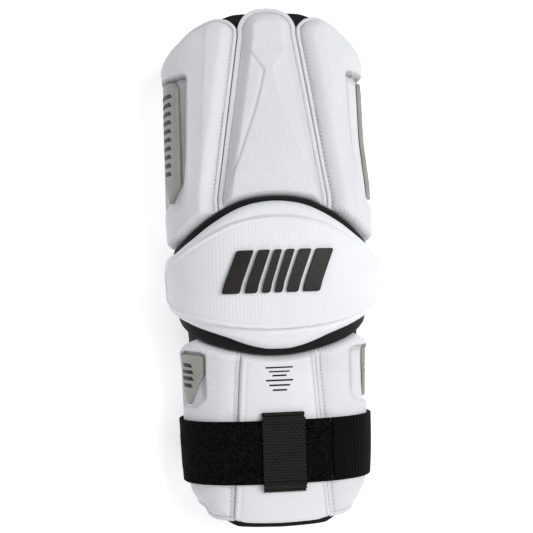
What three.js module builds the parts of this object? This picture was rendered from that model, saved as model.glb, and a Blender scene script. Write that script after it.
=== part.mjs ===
// Lacrosse arm pad: a hollow cloth sleeve that carries moulded foam panels, an elbow cap and a forearm strap.
// Millimetres. The pad lies on its back: +Z is the outer face, +Y the upper-arm end, and the floor is z = 0.
// A place on the pad is given as (girth, along): girth is the distance round the sleeve from its crown line,
// positive towards +X, and along is the distance from the middle of the pad, positive towards the upper arm.
import * as THREE from "three";

// Overall sizes
const padLength = 376;
const sleeveWall = 2.5;
const clearance = 0.5;

// The sleeve's outer width and height in its three stretches
const upperSleeveWidth = 136.6;
const upperSleeveHeight = 87;
const elbowSleeveWidth = 132;
const elbowSleeveHeight = 90.5;
const forearmSleeveWidth = 121;
const forearmSleeveHeight = 72;

// Section shape: exponents of the rounded arch and belly, the belly's depth below the widest line, floor rounding
const archExponent = 2.5;
const bellyExponent = 2.6;
const bellyDepth = 1.35;
const floorRounding = 4;

// Panel edges: a flat lip, a stitched groove inside it, and a rounded shoulder up to the full thickness
const lipWidth = 3.2;
const lipHeight = 3.4;
const seamInset = 4.4;
const seamDepth = 1.2;
const shoulderRun = 9;
const panelGap = 0.7;

// Upper panels
const centreLobeThickness = 12;
const centreLobeBevel = 2.6;
const centreLobeTopHalf = 21;
const centreLobeFootHalf = 39;
const sideLobeThickness = 11.5;
const ridgeThickness = 13;
const wingThickness = 8.5;
const ridgeTopGirth = 39;
const ridgeFootGirth = 48;
const wingWrap = 114;
const sideDrop = 42;

// Upper recess and its insert
const recessDepth = 4.6;
const recessWall = 2.5;
const upperRecessTop = 142;
const upperRecessFoot = 42;
const upperRecessFade = 12;
const upperRecessGirthTop = 52;
const upperRecessGirthFoot = 57.5;
const upperRecessFarGirth = 104;
const insertStep = 0.8;
const seatGap = 0.7;
const upperInsertGirth = 63;
const upperInsertWidth = 37;
const upperInsertTop = 139;
const upperInsertLength = 89;

// Elbow cap and its backing
const elbowTop = 51.3;
const elbowFoot = 61.3;
const elbowReach = 118;
const backingThickness = 5;
const capReveal = 4;
const capThickness = 11.5;
const capSideThickness = 6.7;
const capRaise = 4.6;
const capRaiseReach = 72;
const capRaiseTop = 35.7;
const capRaiseFoot = 37.8;

// Badge blocks on the cap
const badgeWidth = 67;
const badgeHeight = 27;
const badgeThickness = 2.4;
const badgeSlant = 9;
const badgeGap = 2.6;
const badgeCentre = -1.5;

// Forearm panels
const forearmWrap = 106;
const forearmThickness = 9;
const forearmSideThickness = 7.6;
const forearmCentreTopHalf = 26;
const forearmCentreFootHalf = 34;
const forearmRim = 4;
const forearmEndRise = 34;
const forearmRecessTop = -55.6;
const forearmRecessLength = 45;
const forearmRecessGirth = 49.5;
const forearmRecessFarGirth = 88;
const forearmRecessDepth = 3.8;
const forearmInsertGirth = 52;
const forearmInsertWidth = 32;
const forearmInsertLength = 41;

// Strap and keeper
const strapWidth = 45.5;
const strapThickness = 2.6;
const strapCentre = -131;
const strapSeamGirth = 34;
const strapMeetGirth = 150;
const keeperWidth = 32;
const keeperLength = 57;
const keeperThickness = 1.8;
const keeperOffset = 1.9;
const keeperTurn = 3.4;

const degrees = Math.PI / 180;
const clamp01 = (t) => Math.min(Math.max(t, 0), 1);
const mix = (a, b, t) => a + (b - a) * t;
const ease = (t) => clamp01(t) ** 2 * (3 - 2 * clamp01(t));
const roundUp = (t) => Math.sqrt(1 - (1 - clamp01(t)) ** 2);

// A smooth curve without overshoot through a table's rows: xs rises, and the ends carry on flat.
function smoothCurve(xs, ys) {
  const steps = xs.slice(1).map((x, i) => (ys[i + 1] - ys[i]) / (x - xs[i]));
  const slopes = xs.map((_, i) => {
    const before = steps[Math.max(i - 1, 0)];
    const after = steps[Math.min(i, steps.length - 1)];
    return before * after <= 0 ? 0 : (2 * before * after) / (before + after);
  });
  return (x) => {
    const last = xs.length - 1;
    if (x <= xs[0]) return ys[0];
    if (x >= xs[last]) return ys[last];
    let i = 0;
    while (x > xs[i + 1]) i += 1;
    const run = xs[i + 1] - xs[i];
    const t = (x - xs[i]) / run;
    const rise = ys[i + 1] - ys[i];
    const bend = t * (1 - t) * ((1 - t) * (slopes[i] * run - rise) - t * (slopes[i + 1] * run - rise));
    return ys[i] + rise * t + bend;
  };
}

const column = (rows, name) => rows.map((row) => row[name]);
const tableCurve = (rows, from, to) => smoothCurve(column(rows, from), column(rows, to));

// Sleeve sections from the forearm end up. along is a share of padLength; width, height and waist are shares of
// the stretch's own sleeve width and height, and waist is the height of the widest line.
const stretches = {
  forearm: { width: forearmSleeveWidth, height: forearmSleeveHeight },
  elbow: { width: elbowSleeveWidth, height: elbowSleeveHeight },
  upper: { width: upperSleeveWidth, height: upperSleeveHeight },
};
const sections = [
  { along: -0.5, stretch: "forearm", width: 0.926, height: 0.917, waist: 0.43 },
  { along: -0.346, stretch: "forearm", width: 1.0, height: 0.979, waist: 0.458 },
  { along: -0.2, stretch: "forearm", width: 1.017, height: 1.028, waist: 0.486 },
  { along: -0.12, stretch: "elbow", width: 0.962, height: 0.917, waist: 0.431 },
  { along: -0.027, stretch: "elbow", width: 1.0, height: 1.0, waist: 0.453 },
  { along: 0.04, stretch: "elbow", width: 1.015, height: 0.994, waist: 0.453 },
  { along: 0.16, stretch: "upper", width: 1.0, height: 1.0, waist: 0.46 },
  { along: 0.4, stretch: "upper", width: 0.985, height: 0.977, waist: 0.448 },
  { along: 0.5, stretch: "upper", width: 0.937, height: 0.954, waist: 0.448 },
].map((row) => ({
  along: row.along * padLength,
  half: (row.width * stretches[row.stretch].width) / 2,
  height: row.height * stretches[row.stretch].height,
  waist: row.waist * stretches[row.stretch].height,
}));
const halfAt = tableCurve(sections, "along", "half");
const heightAt = tableCurve(sections, "along", "height");
const waistAt = tableCurve(sections, "along", "waist");

// Under the strap the sleeve's back is pressed up, so that strap and sleeve lie on one level.
function floorAt(along) {
  const press = strapThickness + clearance;
  const past = Math.abs(along - strapCentre) - strapWidth / 2;
  return press * (1 - ease((past - 2) / (4 * press)));
}

// The point of the sleeve's outer surface at an angle from the crown.
function sectionPoint(along, angle) {
  const waist = waistAt(along);
  const up = Math.cos(angle);
  const exponent = up >= 0 ? archExponent : bellyExponent;
  const depth = up >= 0 ? heightAt(along) - waist : waist * bellyDepth;
  const side = Math.abs(Math.sin(angle)) / halfAt(along);
  const radius = (side ** exponent + (Math.abs(up) / depth) ** exponent) ** (-1 / exponent);
  const floor = floorAt(along);
  const clear = waist + radius * up - floor;
  const share = clamp01(0.5 + (0.5 * clear) / floorRounding);
  const z = floor + clear * share + floorRounding * share * (1 - share);
  return new THREE.Vector3(radius * Math.sin(angle), along, z);
}

// Distance round the sleeve for a list of angles, kept for each section that is asked for.
const angleSteps = 120;
const girthTables = new Map();
function girthTable(along) {
  const key = Math.round(along * 100);
  if (!girthTables.has(key)) {
    const girths = [0];
    let before = sectionPoint(along, 0);
    for (let i = 1; i <= angleSteps; i += 1) {
      const point = sectionPoint(along, (i * Math.PI) / angleSteps);
      girths.push(girths[i - 1] + point.distanceTo(before));
      before = point;
    }
    girthTables.set(key, girths);
  }
  return girthTables.get(key);
}
const halfGirth = (along) => girthTable(along)[angleSteps];

function girthAtAngle(along, angle) {
  const place = (angle / Math.PI) * angleSteps;
  const i = Math.min(Math.floor(place), angleSteps - 1);
  const girths = girthTable(along);
  return mix(girths[i], girths[i + 1], place - i);
}

function angleAtGirth(along, girth) {
  const girths = girthTable(along);
  const whole = 2 * halfGirth(along);
  if (girth < 0) return -angleAtGirth(along, -girth);
  if (girth > whole / 2) return 2 * Math.PI - angleAtGirth(along, whole - girth);
  let low = 0;
  let high = angleSteps;
  while (high - low > 1) {
    const middle = (low + high) >> 1;
    if (girths[middle] <= girth) low = middle;
    else high = middle;
  }
  return ((low + (girth - girths[low]) / (girths[high] - girths[low])) * Math.PI) / angleSteps;
}

// A point lifted off the sleeve's outer surface along its normal.
function onSleeve(girth, along, lift) {
  const angle = angleAtGirth(along, girth);
  const turn = 0.01;
  const step = 0.5;
  const round = sectionPoint(along, angle + turn).sub(sectionPoint(along, angle - turn));
  const lengthwise = sectionPoint(along + step, angle).sub(sectionPoint(along - step, angle));
  const normal = round.cross(lengthwise).normalize();
  return sectionPoint(along, angle).addScaledVector(normal, lift);
}

// A closed shell over a grid: outer and inner points, joined along the border, or only along two edges if it
// closes on itself round the girth.
function gridShell(across, up, outerPoint, innerPoint, closed = false) {
  const points = [];
  const faces = [];
  const count = across * up;
  for (const pointAt of [outerPoint, innerPoint])
    for (let j = 0; j < up; j += 1) for (let i = 0; i < across; i += 1) points.push(pointAt(i, j));
  const at = (i, j, side) => side * count + j * across + (i % across);
  const quad = (a, b, c, d) => faces.push(a, b, c, a, c, d);
  const spans = closed ? across : across - 1;
  for (let j = 0; j < up - 1; j += 1)
    for (let i = 0; i < spans; i += 1) {
      quad(at(i, j, 0), at(i + 1, j, 0), at(i + 1, j + 1, 0), at(i, j + 1, 0));
      quad(at(i, j, 1), at(i, j + 1, 1), at(i + 1, j + 1, 1), at(i + 1, j, 1));
    }
  for (let i = 0; i < spans; i += 1) {
    quad(at(i, 0, 1), at(i + 1, 0, 1), at(i + 1, 0, 0), at(i, 0, 0));
    quad(at(i, up - 1, 0), at(i + 1, up - 1, 0), at(i + 1, up - 1, 1), at(i, up - 1, 1));
  }
  if (!closed)
    for (let j = 0; j < up - 1; j += 1) {
      quad(at(0, j, 0), at(0, j + 1, 0), at(0, j + 1, 1), at(0, j, 1));
      quad(at(across - 1, j, 1), at(across - 1, j + 1, 1), at(across - 1, j + 1, 0), at(across - 1, j, 0));
    }
  const geometry = new THREE.BufferGeometry().setFromPoints(points).setIndex(faces);
  geometry.computeVertexNormals();
  return geometry;
}

// The values of several curves at one place, kept in rising order: each one lies at least a small step past the
// one before, and the first and last are never moved.
const smallestStep = 0.45;
function inOrder(curves, place) {
  const values = curves.map((curve) => curve(place));
  const last = values.length - 1;
  const step = Math.min(smallestStep, (values[last] - values[0]) / (2 * last));
  for (let k = 1; k < last; k += 1)
    values[k] = Math.min(Math.max(values[k], values[k - 1] + step), values[last] - (last - k) * step);
  return values;
}

// A panel on the sleeve. columns are curves girth(along) and rows are curves along(girth), and each grid point is
// where a column meets a row. A panel on the other side is its mirror image.
function panel({ columns, rows, outer, inner, side = 1 }) {
  const places = rows.map((row, j) =>
    columns.map((curve, i) => {
      let girth = curve(row(curve(0)));
      let along = inOrder(rows, girth)[j];
      for (let pass = 0; pass < 8; pass += 1) {
        girth = inOrder(columns, along)[i];
        along = mix(along, inOrder(rows, girth)[j], 0.8);
      }
      return { girth, along };
    }),
  );
  const pick = (i, j) => places[j][side > 0 ? i : columns.length - 1 - i];
  const lifted = (height) => (i, j) => {
    const { girth, along } = pick(i, j);
    return onSleeve(side * girth, along, height(girth, along));
  };
  return gridShell(columns.length, rows.length, lifted(outer), lifted(inner));
}

const fixed = (value) => () => value;
const shifted = (curve, by) => (t) => curve(t) + by;
const between = (a, b, count) =>
  Array.from({ length: count }, (_, i) => (t) => mix(a(t), b(t), (i + 1) / (count + 1)));
const mirrored = (curve) => (t) => -curve(t);

// The slope factor that turns a distance square to an edge into one along the pad.
const steepest = 2.4;
const slopeFactor = (edge, girth) => Math.min(Math.hypot(1, (edge(girth + 0.5) - edge(girth - 0.5)) / 1), steepest);
const insetRow = (edge, by) => (girth) => edge(girth) + by * slopeFactor(edge, girth);
const edgeSteps = [0, lipWidth, seamInset, seamInset + shoulderRun * 0.45];

// Distance from a place to a panel's nearest edge.
function edgeDistance(girth, along, { low, high, foot, top }) {
  return Math.min(
    girth - low(along),
    high(along) - girth,
    (along - foot(girth)) / slopeFactor(foot, girth),
    (top(girth) - along) / slopeFactor(top, girth),
  );
}

// Height of a moulded panel above its underside: lip, stitched groove, shoulder and body.
function cushion(distance, full) {
  const groove = lipHeight - seamDepth;
  if (distance <= lipWidth) return lipHeight - 0.8 * (1 - roundUp(distance / 1.2));
  if (distance <= seamInset) return mix(lipHeight, groove, (distance - lipWidth) / (seamInset - lipWidth));
  return mix(groove, full, roundUp((distance - seamInset) / shoulderRun));
}

// Elbow outline: girth and inset are shares of elbowReach and capReveal; top and foot are shares of elbowTop
// and elbowFoot.
const elbowOutline = [
  { girth: 0, top: 1.0, foot: 1.0, inset: 0.85 },
  { girth: 0.19, top: 0.962, foot: 0.966, inset: 1.2 },
  { girth: 0.355, top: 0.768, foot: 0.885, inset: 1.8 },
  { girth: 0.475, top: 0.572, foot: 0.78, inset: 1.5 },
  { girth: 0.6, top: 0.42, foot: 0.64, inset: 1.2 },
  { girth: 0.8, top: 0.3, foot: 0.53, inset: 1.0 },
  { girth: 0.91, top: 0.22, foot: 0.49, inset: 1.0 },
  { girth: 1.0, top: 0.04, foot: 0.37, inset: 1.0 },
].map((row) => ({
  girth: row.girth * elbowReach,
  top: row.top * elbowTop,
  foot: -row.foot * elbowFoot,
  inset: row.inset * capReveal,
}));
const evenly = (curve) => (girth) => curve(Math.abs(girth));
const backingTop = evenly(tableCurve(elbowOutline, "girth", "top"));
const backingFoot = evenly(tableCurve(elbowOutline, "girth", "foot"));
const backingInset = evenly(tableCurve(elbowOutline, "girth", "inset"));
const capTop = (girth) => backingTop(girth) - backingInset(girth);
const capFoot = (girth) => backingFoot(girth) + backingInset(girth);
const capReach = elbowReach - capReveal;

// The end of the upper panels' underside, past the cap's flaps, and of the forearm panels' top.
const wingFoot = smoothCurve(
  [0.6 * elbowReach, 0.8 * elbowReach, elbowReach],
  [0.44 * elbowTop, 0.36 * elbowTop, 0.33 * elbowTop],
);
const upperFoot = (girth) =>
  Math.max(backingTop(girth), girth > 0.6 * elbowReach ? wingFoot(girth) : -Infinity) + panelGap;
const forearmTopEdge = smoothCurve(
  [0.5 * elbowReach, 0.58 * elbowReach, 0.7 * elbowReach, 0.95 * elbowReach],
  [-0.77 * elbowFoot, -0.8 * elbowFoot, -0.9 * elbowFoot, -1.02 * elbowFoot],
);
const forearmTop = (girth) =>
  Math.min(backingFoot(girth), Math.abs(girth) > 0.5 * elbowReach ? forearmTopEdge(Math.abs(girth)) : Infinity) -
  panelGap;

// Ends of the upper panels and sleeve: girth is a share of the half girth there, drop a share of sideDrop.
const upperGirth = halfGirth(0.42 * padLength);
const upperEnd = padLength / 2;
const upperEdge = (rows) => {
  const drop = smoothCurve(
    rows.map((row) => row.girth * upperGirth),
    rows.map((row) => row.drop * sideDrop),
  );
  return (girth) => upperEnd - drop(Math.abs(girth));
};
const sideLobeTop = upperEdge([
  { girth: 0.105, drop: 0.42 },
  { girth: 0.125, drop: 0.27 },
  { girth: 0.15, drop: 0.185 },
  { girth: 0.19, drop: 0.15 },
  { girth: 0.26, drop: 0.24 },
  { girth: 0.345, drop: 0.44 },
  { girth: 0.47, drop: 0.74 },
  { girth: 0.62, drop: 1.0 },
  { girth: 0.66, drop: 1.14 },
]);
const centreLobeTop = upperEdge([
  { girth: 0, drop: 0 },
  { girth: 0.04, drop: 0.02 },
  { girth: 0.075, drop: 0.09 },
  { girth: 0.1, drop: 0.22 },
  { girth: 0.112, drop: 0.36 },
]);
const sleeveTop = upperEdge([
  { girth: 0, drop: 0.19 },
  { girth: 0.12, drop: 0.2 },
  { girth: 0.17, drop: 0.3 },
  { girth: 0.24, drop: 0.46 },
  { girth: 0.34, drop: 0.7 },
  { girth: 0.47, drop: 0.95 },
  { girth: 0.63, drop: 1.22 },
  { girth: 1.0, drop: 1.3 },
]);

// Ends of the forearm panels and sleeve: girth is a share of the half girth there, rise a share of forearmEndRise.
const forearmGirth = halfGirth(-0.45 * padLength);
const forearmEnd = -padLength / 2;
const forearmEdge = (rows) => {
  const rise = smoothCurve(
    rows.map((row) => row.girth * forearmGirth),
    rows.map((row) => row.rise * forearmEndRise),
  );
  return (girth) => forearmEnd + rise(Math.abs(girth));
};
const forearmFoot = shifted(
  forearmEdge([
    { girth: 0, rise: 0 },
    { girth: 0.15, rise: 0.02 },
    { girth: 0.215, rise: 0.08 },
    { girth: 0.27, rise: 0.12 },
    { girth: 0.3, rise: 0.19 },
    { girth: 0.325, rise: 0.34 },
    { girth: 0.355, rise: 0.39 },
    { girth: 0.43, rise: 0.58 },
    { girth: 0.49, rise: 0.79 },
    { girth: 0.62, rise: 1.0 },
    { girth: 0.66, rise: 1.1 },
  ]),
  forearmRim,
);
const sleeveFoot = forearmEdge([
  { girth: 0, rise: 0 },
  { girth: 0.2, rise: 0.03 },
  { girth: 0.25, rise: 0.14 },
  { girth: 0.3, rise: 0.4 },
  { girth: 0.36, rise: 0.52 },
  { girth: 0.45, rise: 0.56 },
  { girth: 1.0, rise: 0.56 },
]);

const materials = {
  white: { color: 0xe9eaee, roughness: 0.72 },
  grey: { color: 0x96968e, roughness: 0.6 },
  black: { color: 0x12110f, roughness: 0.85 },
  rubber: { color: 0x2d2a28, roughness: 0.5 },
  webbing: { color: 0x191817, roughness: 0.8 },
};
const pad = new THREE.Group();
function addPiece(name, geometry, finish) {
  const material = new THREE.MeshStandardMaterial({ ...materials[finish], metalness: 0 });
  const mesh = new THREE.Mesh(geometry, material);
  mesh.name = name;
  pad.add(mesh);
}
const sides = [
  { word: "left", side: -1 },
  { word: "right", side: 1 },
];

// Sleeve: a tube of cloth, with a curved rim at each end and a flat back. Its facets are close together where it
// curves and wide on the back, and rows lie where the strap presses it up.
const sleeveShares = [0.052, 0.1, 0.147, 0.194, 0.241, 0.286, 0.33, 0.374, 0.42, 0.466, 0.515, 0.565, 0.613, 0.66, 0.705, 0.75, 0.86];
const pressEdge = strapWidth / 2 + 2;
const pressEnd = pressEdge + 4 * (strapThickness + clearance);
const sleeveRows = [
  ...[-pressEnd, -pressEdge, pressEdge, pressEnd].map((by) => strapCentre + by),
  ...[-0.215, -0.18, -0.145, -0.105, -0.06, -0.015, 0.035, 0.1, 0.19, 0.28].map((share) => share * padLength),
];
function sleeve() {
  const shares = [0, ...sleeveShares, 1, ...sleeveShares.map((share) => -share).reverse()];
  const pointAt = (lift) => (i, j) => {
    const share = shares[i];
    const foot = sleeveFoot(Math.abs(share) * forearmGirth);
    const top = sleeveTop(Math.abs(share) * upperGirth);
    const along = [foot, ...sleeveRows, mix(sleeveRows[sleeveRows.length - 1], top, 0.5), top][j];
    return onSleeve(share * halfGirth(along), along, lift);
  };
  return gridShell(shares.length, sleeveRows.length + 3, pointAt(0), pointAt(-sleeveWall), true);
}
addPiece("sleeve", sleeve(), "black");

// Upper centre lobe: an hourglass crease divides a raised middle from two bevelled sides.
const centreHalf = (along) =>
  mix(centreLobeFootHalf, centreLobeTopHalf, clamp01((along - elbowTop) / (upperEnd - 20 - elbowTop)));
const creaseRows = [
  { along: 0.14, half: 0.84 },
  { along: 0.32, half: 0.52 },
  { along: 0.67, half: 0.16 },
  { along: 0.78, half: 0.56 },
  { along: 0.86, half: 0.7 },
];
const creaseShare = smoothCurve(
  creaseRows.map((row) => mix(elbowTop, upperEnd, row.along)),
  column(creaseRows, "half"),
);
const creaseHalf = (along) => creaseShare(along) * (centreHalf(along) - seamInset - shoulderRun * 0.45);
const centreLobe = {
  low: mirrored(centreHalf),
  high: centreHalf,
  foot: upperFoot,
  top: centreLobeTop,
};
function centreLobeHeight(girth, along) {
  const crease = creaseHalf(along);
  const past = (Math.abs(girth) - crease) / (centreHalf(along) - seamInset - crease);
  const full = centreLobeThickness - centreLobeBevel * clamp01(past);
  return clearance + cushion(edgeDistance(girth, along, centreLobe), full);
}
const creaseColumns = [
  ...between(fixed(0), creaseHalf, 1),
  creaseHalf,
  ...between(creaseHalf, shifted(centreHalf, -edgeSteps[3]), 1),
];
addPiece(
  "upper_centre_lobe",
  panel({
    columns: [
      ...edgeSteps.map((by) => shifted(centreLobe.low, by)),
      ...creaseColumns.map(mirrored).reverse(),
      fixed(0),
      ...creaseColumns,
      ...edgeSteps.map((by) => shifted(centreLobe.high, -by)).reverse(),
    ],
    rows: [
      ...edgeSteps.map((by) => insetRow(upperFoot, by)),
      ...creaseRows.map((row) => fixed(mix(elbowTop, upperEnd, row.along))).slice(0, 2),
      fixed(mix(elbowTop, upperEnd, 0.5)),
      ...creaseRows.map((row) => fixed(mix(elbowTop, upperEnd, row.along))).slice(2),
      ...edgeSteps.map((by) => insetRow(centreLobeTop, -by)).reverse(),
    ],
    outer: centreLobeHeight,
    inner: fixed(clearance),
  }),
  "white",
);

// Upper side lobes: a ridge runs down each one, and the wing outside it has a recess for the insert.
const sideLobe = {
  low: shifted(centreHalf, panelGap),
  high: (along) => girthAtAngle(along, wingWrap * degrees),
  foot: upperFoot,
  top: sideLobeTop,
};
const upwards = (along) => clamp01((along - elbowTop) / (upperEnd - elbowTop));
const ridgeGirth = (along) => mix(ridgeFootGirth, ridgeTopGirth, upwards(along));
const recessGirth = (along) => mix(upperRecessGirthFoot, upperRecessGirthTop, upwards(along));
const recessTop = (girth) => Math.min(upperRecessTop, insetRow(sideLobeTop, -seamInset - shoulderRun)(girth));
function upperRecess(girth, along) {
  const near = ease((girth - recessGirth(along)) / recessWall);
  const far = ease((upperRecessFarGirth - girth) / recessWall);
  const above = ease((recessTop(girth) - along) / recessWall);
  const below = ease((along - upperRecessFoot) / upperRecessFade);
  return near * far * above * below;
}
function sideLobeHeight(girth, along) {
  const ridge = ridgeGirth(along);
  const full =
    girth < ridge
      ? mix(sideLobeThickness, ridgeThickness, ease((girth - sideLobe.low(along)) / (ridge - sideLobe.low(along))))
      : mix(ridgeThickness, wingThickness, ease((girth - ridge) / (upperRecessFarGirth - ridge)) ** 0.6);
  return clearance + cushion(edgeDistance(girth, along, sideLobe), full) - recessDepth * upperRecess(girth, along);
}
for (const { word, side } of sides)
  addPiece(
    "upper_" + word + "_lobe",
    panel({
      side,
      columns: [
        ...edgeSteps.map((by) => shifted(sideLobe.low, by)),
        ridgeGirth,
        recessGirth,
        shifted(recessGirth, recessWall),
        ...between(shifted(recessGirth, recessWall), fixed(upperRecessFarGirth - recessWall), 4),
        fixed(upperRecessFarGirth - recessWall),
        fixed(upperRecessFarGirth),
        ...edgeSteps.map((by) => shifted(sideLobe.high, -by)).reverse(),
      ],
      rows: [
        ...edgeSteps.map((by) => insetRow(upperFoot, by)),
        fixed(upperRecessFoot),
        fixed(upperRecessFoot + upperRecessFade / 2),
        fixed(upperRecessFoot + upperRecessFade),
        ...between(fixed(upperRecessFoot + upperRecessFade), shifted(recessTop, -recessWall), 3),
        shifted(recessTop, -recessWall),
        recessTop,
        ...edgeSteps.map((by) => insetRow(sideLobeTop, -by)).reverse(),
      ],
      outer: sideLobeHeight,
      inner: fixed(clearance),
    }),
    "white",
  );

// Upper inserts: a long plate with one chamfered corner at the top and a pointed foot.
function chamferedPlate({ girth, width, top, length, lift, thickness, footPoint, corner, cornerRun, tip }) {
  const middle = girth + width * footPoint;
  const foot = top(middle) - length;
  const topEdge = (g) => top(g) - corner * clamp01((girth + cornerRun - g) / cornerRun);
  const footEdge = (g) =>
    g < middle
      ? foot + (tip.near * (middle - g)) / (middle - girth)
      : foot + (tip.far * (g - middle)) / (girth + width - middle);
  return {
    columns: [0, 0.06, cornerRun / width, footPoint, 0.56, 0.75, 0.94, 1].map((share) => fixed(girth + width * share)),
    rows: [
      footEdge,
      shifted(footEdge, 1),
      ...between(shifted(footEdge, 1), shifted(topEdge, -1), 3),
      shifted(topEdge, -1),
      topEdge,
    ],
    outer: (g, along) => {
      const rim = Math.min(g - girth, girth + width - g, topEdge(g) - along, along - footEdge(g));
      return lift(g, along) + seatGap + thickness * mix(0.7, 1, clamp01(rim));
    },
    inner: (g, along) => lift(g, along) + seatGap,
  };
}
const upperInsertThickness = recessDepth - insertStep - seatGap;
for (const { word, side } of sides)
  addPiece(
    "upper_" + word + "_insert",
    panel({
      side,
      ...chamferedPlate({
        girth: upperInsertGirth,
        width: upperInsertWidth,
        top: fixed(upperInsertTop),
        length: upperInsertLength,
        lift: sideLobeHeight,
        thickness: upperInsertThickness,
        footPoint: 0.32,
        corner: 9,
        cornerRun: 4.5,
        tip: { near: 8, far: 40 },
      }),
    }),
    "grey",
  );

// Elbow backing: a sheet of foam whose rim shows all round the cap.
const elbowShares = [0.12, 0.24, 0.35, 0.45, 0.54, 0.62, 0.7, 0.78, 0.86, 0.93];
const reachColumns = (reach, steps) => {
  const inside = steps.map((by) => fixed(reach - by)).reverse();
  const half = [...elbowShares.map((share) => fixed(share * inside[0]())), ...inside];
  return [...half.map(mirrored).reverse(), fixed(0), ...half];
};
addPiece(
  "elbow_backing",
  panel({
    columns: reachColumns(elbowReach, [0, 1.2]),
    rows: [backingFoot, ...between(backingFoot, backingTop, 5), backingTop],
    outer: fixed(clearance + backingThickness),
    inner: fixed(clearance),
  }),
  "black",
);

// Elbow cap: a moulded shell that wraps the elbow, with a raised lens in the middle.
const capBase = 2 * clearance + backingThickness;
const raiseRows = [
  { girth: 0, top: 1.0, foot: 1.0 },
  { girth: 0.36, top: 0.86, foot: 0.95 },
  { girth: 0.66, top: 0.48, foot: 0.83 },
  { girth: 0.81, top: 0.28, foot: 0.72 },
  { girth: 0.93, top: 0.06, foot: 0.52 },
  { girth: 1.0, top: -0.12, foot: 0.3 },
];
const raiseTop = evenly(
  smoothCurve(
    raiseRows.map((row) => row.girth * capRaiseReach),
    raiseRows.map((row) => row.top * capRaiseTop),
  ),
);
const raiseFoot = evenly(
  smoothCurve(
    raiseRows.map((row) => row.girth * capRaiseReach),
    raiseRows.map((row) => -row.foot * capRaiseFoot),
  ),
);
const raiseWall = 3;
const cap = { low: fixed(-capReach), high: fixed(capReach), foot: capFoot, top: capTop };
function capHeight(girth, along) {
  const outward = ease((Math.abs(girth) - 0.25 * capReach) / (0.55 * capReach));
  const full = mix(capThickness, capSideThickness, outward);
  const inside = Math.min(
    capRaiseReach - Math.abs(girth),
    (raiseTop(girth) - along) / slopeFactor(raiseTop, girth),
    (along - raiseFoot(girth)) / slopeFactor(raiseFoot, girth),
  );
  const raised = capRaise * mix(1, 0.35, outward) * ease(inside / raiseWall);
  return capBase + cushion(edgeDistance(girth, along, cap), full) + raised;
}
addPiece(
  "elbow_cap",
  panel({
    columns: reachColumns(capReach, edgeSteps),
    rows: [
      ...edgeSteps.map((by) => insetRow(capFoot, by)),
      raiseFoot,
      shifted(raiseFoot, raiseWall),
      ...between(shifted(raiseFoot, raiseWall), shifted(raiseTop, -raiseWall), 3),
      shifted(raiseTop, -raiseWall),
      raiseTop,
      ...edgeSteps.map((by) => insetRow(capTop, -by)).reverse(),
    ],
    outer: capHeight,
    inner: fixed(capBase),
  }),
  "white",
);

// Badge: a row of slanted rubber blocks, wide at the ends and narrow in the middle.
const blockShares = [0.22, 0.162, 0.118, 0.118, 0.162, 0.22];
const blockRun = badgeWidth - badgeSlant - badgeGap * (blockShares.length - 1);
let blockStart = -badgeWidth / 2;
blockShares.forEach((share, index) => {
  const width = share * blockRun;
  const start = blockStart;
  const lean = (along) => badgeSlant * ((along - badgeCentre) / badgeHeight + 0.5);
  const low = badgeCentre - badgeHeight / 2;
  blockStart += width + badgeGap;
  addPiece(
    "badge_block_" + (index + 1),
    panel({
      columns: [0, 0.6, width - 0.6, width].map((by) => (along) => start + by + lean(along)),
      rows: [0, 0.6, badgeHeight / 2, badgeHeight - 0.6, badgeHeight].map((by) => fixed(low + by)),
      outer: (girth, along) => {
        const across = girth - start - lean(along);
        const rim = Math.min(across, width - across, along - low, low + badgeHeight - along);
        return capHeight(girth, along) + clearance + badgeThickness - 0.6 * (1 - clamp01(rim / 0.6));
      },
      inner: (girth, along) => capHeight(girth, along) + clearance,
    }),
    "rubber",
  );
});

// Forearm centre panel
const forearmCentreHalf = (along) =>
  mix(forearmCentreFootHalf, forearmCentreTopHalf, clamp01((along - forearmEnd) / (-elbowFoot - forearmEnd)));
const forearmCentre = {
  low: mirrored(forearmCentreHalf),
  high: forearmCentreHalf,
  foot: forearmFoot,
  top: forearmTop,
};
const forearmCentreHeight = (girth, along) =>
  clearance + cushion(edgeDistance(girth, along, forearmCentre), forearmThickness);
addPiece(
  "forearm_centre_panel",
  panel({
    columns: [
      ...edgeSteps.map((by) => shifted(forearmCentre.low, by)),
      ...between(shifted(forearmCentre.low, edgeSteps[3]), shifted(forearmCentre.high, -edgeSteps[3]), 3),
      ...edgeSteps.map((by) => shifted(forearmCentre.high, -by)).reverse(),
    ],
    rows: [
      ...edgeSteps.map((by) => insetRow(forearmFoot, by)),
      ...between(forearmFoot, forearmTop, 5),
      ...edgeSteps.map((by) => insetRow(forearmTop, -by)).reverse(),
    ],
    outer: forearmCentreHeight,
    inner: fixed(clearance),
  }),
  "white",
);

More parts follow.
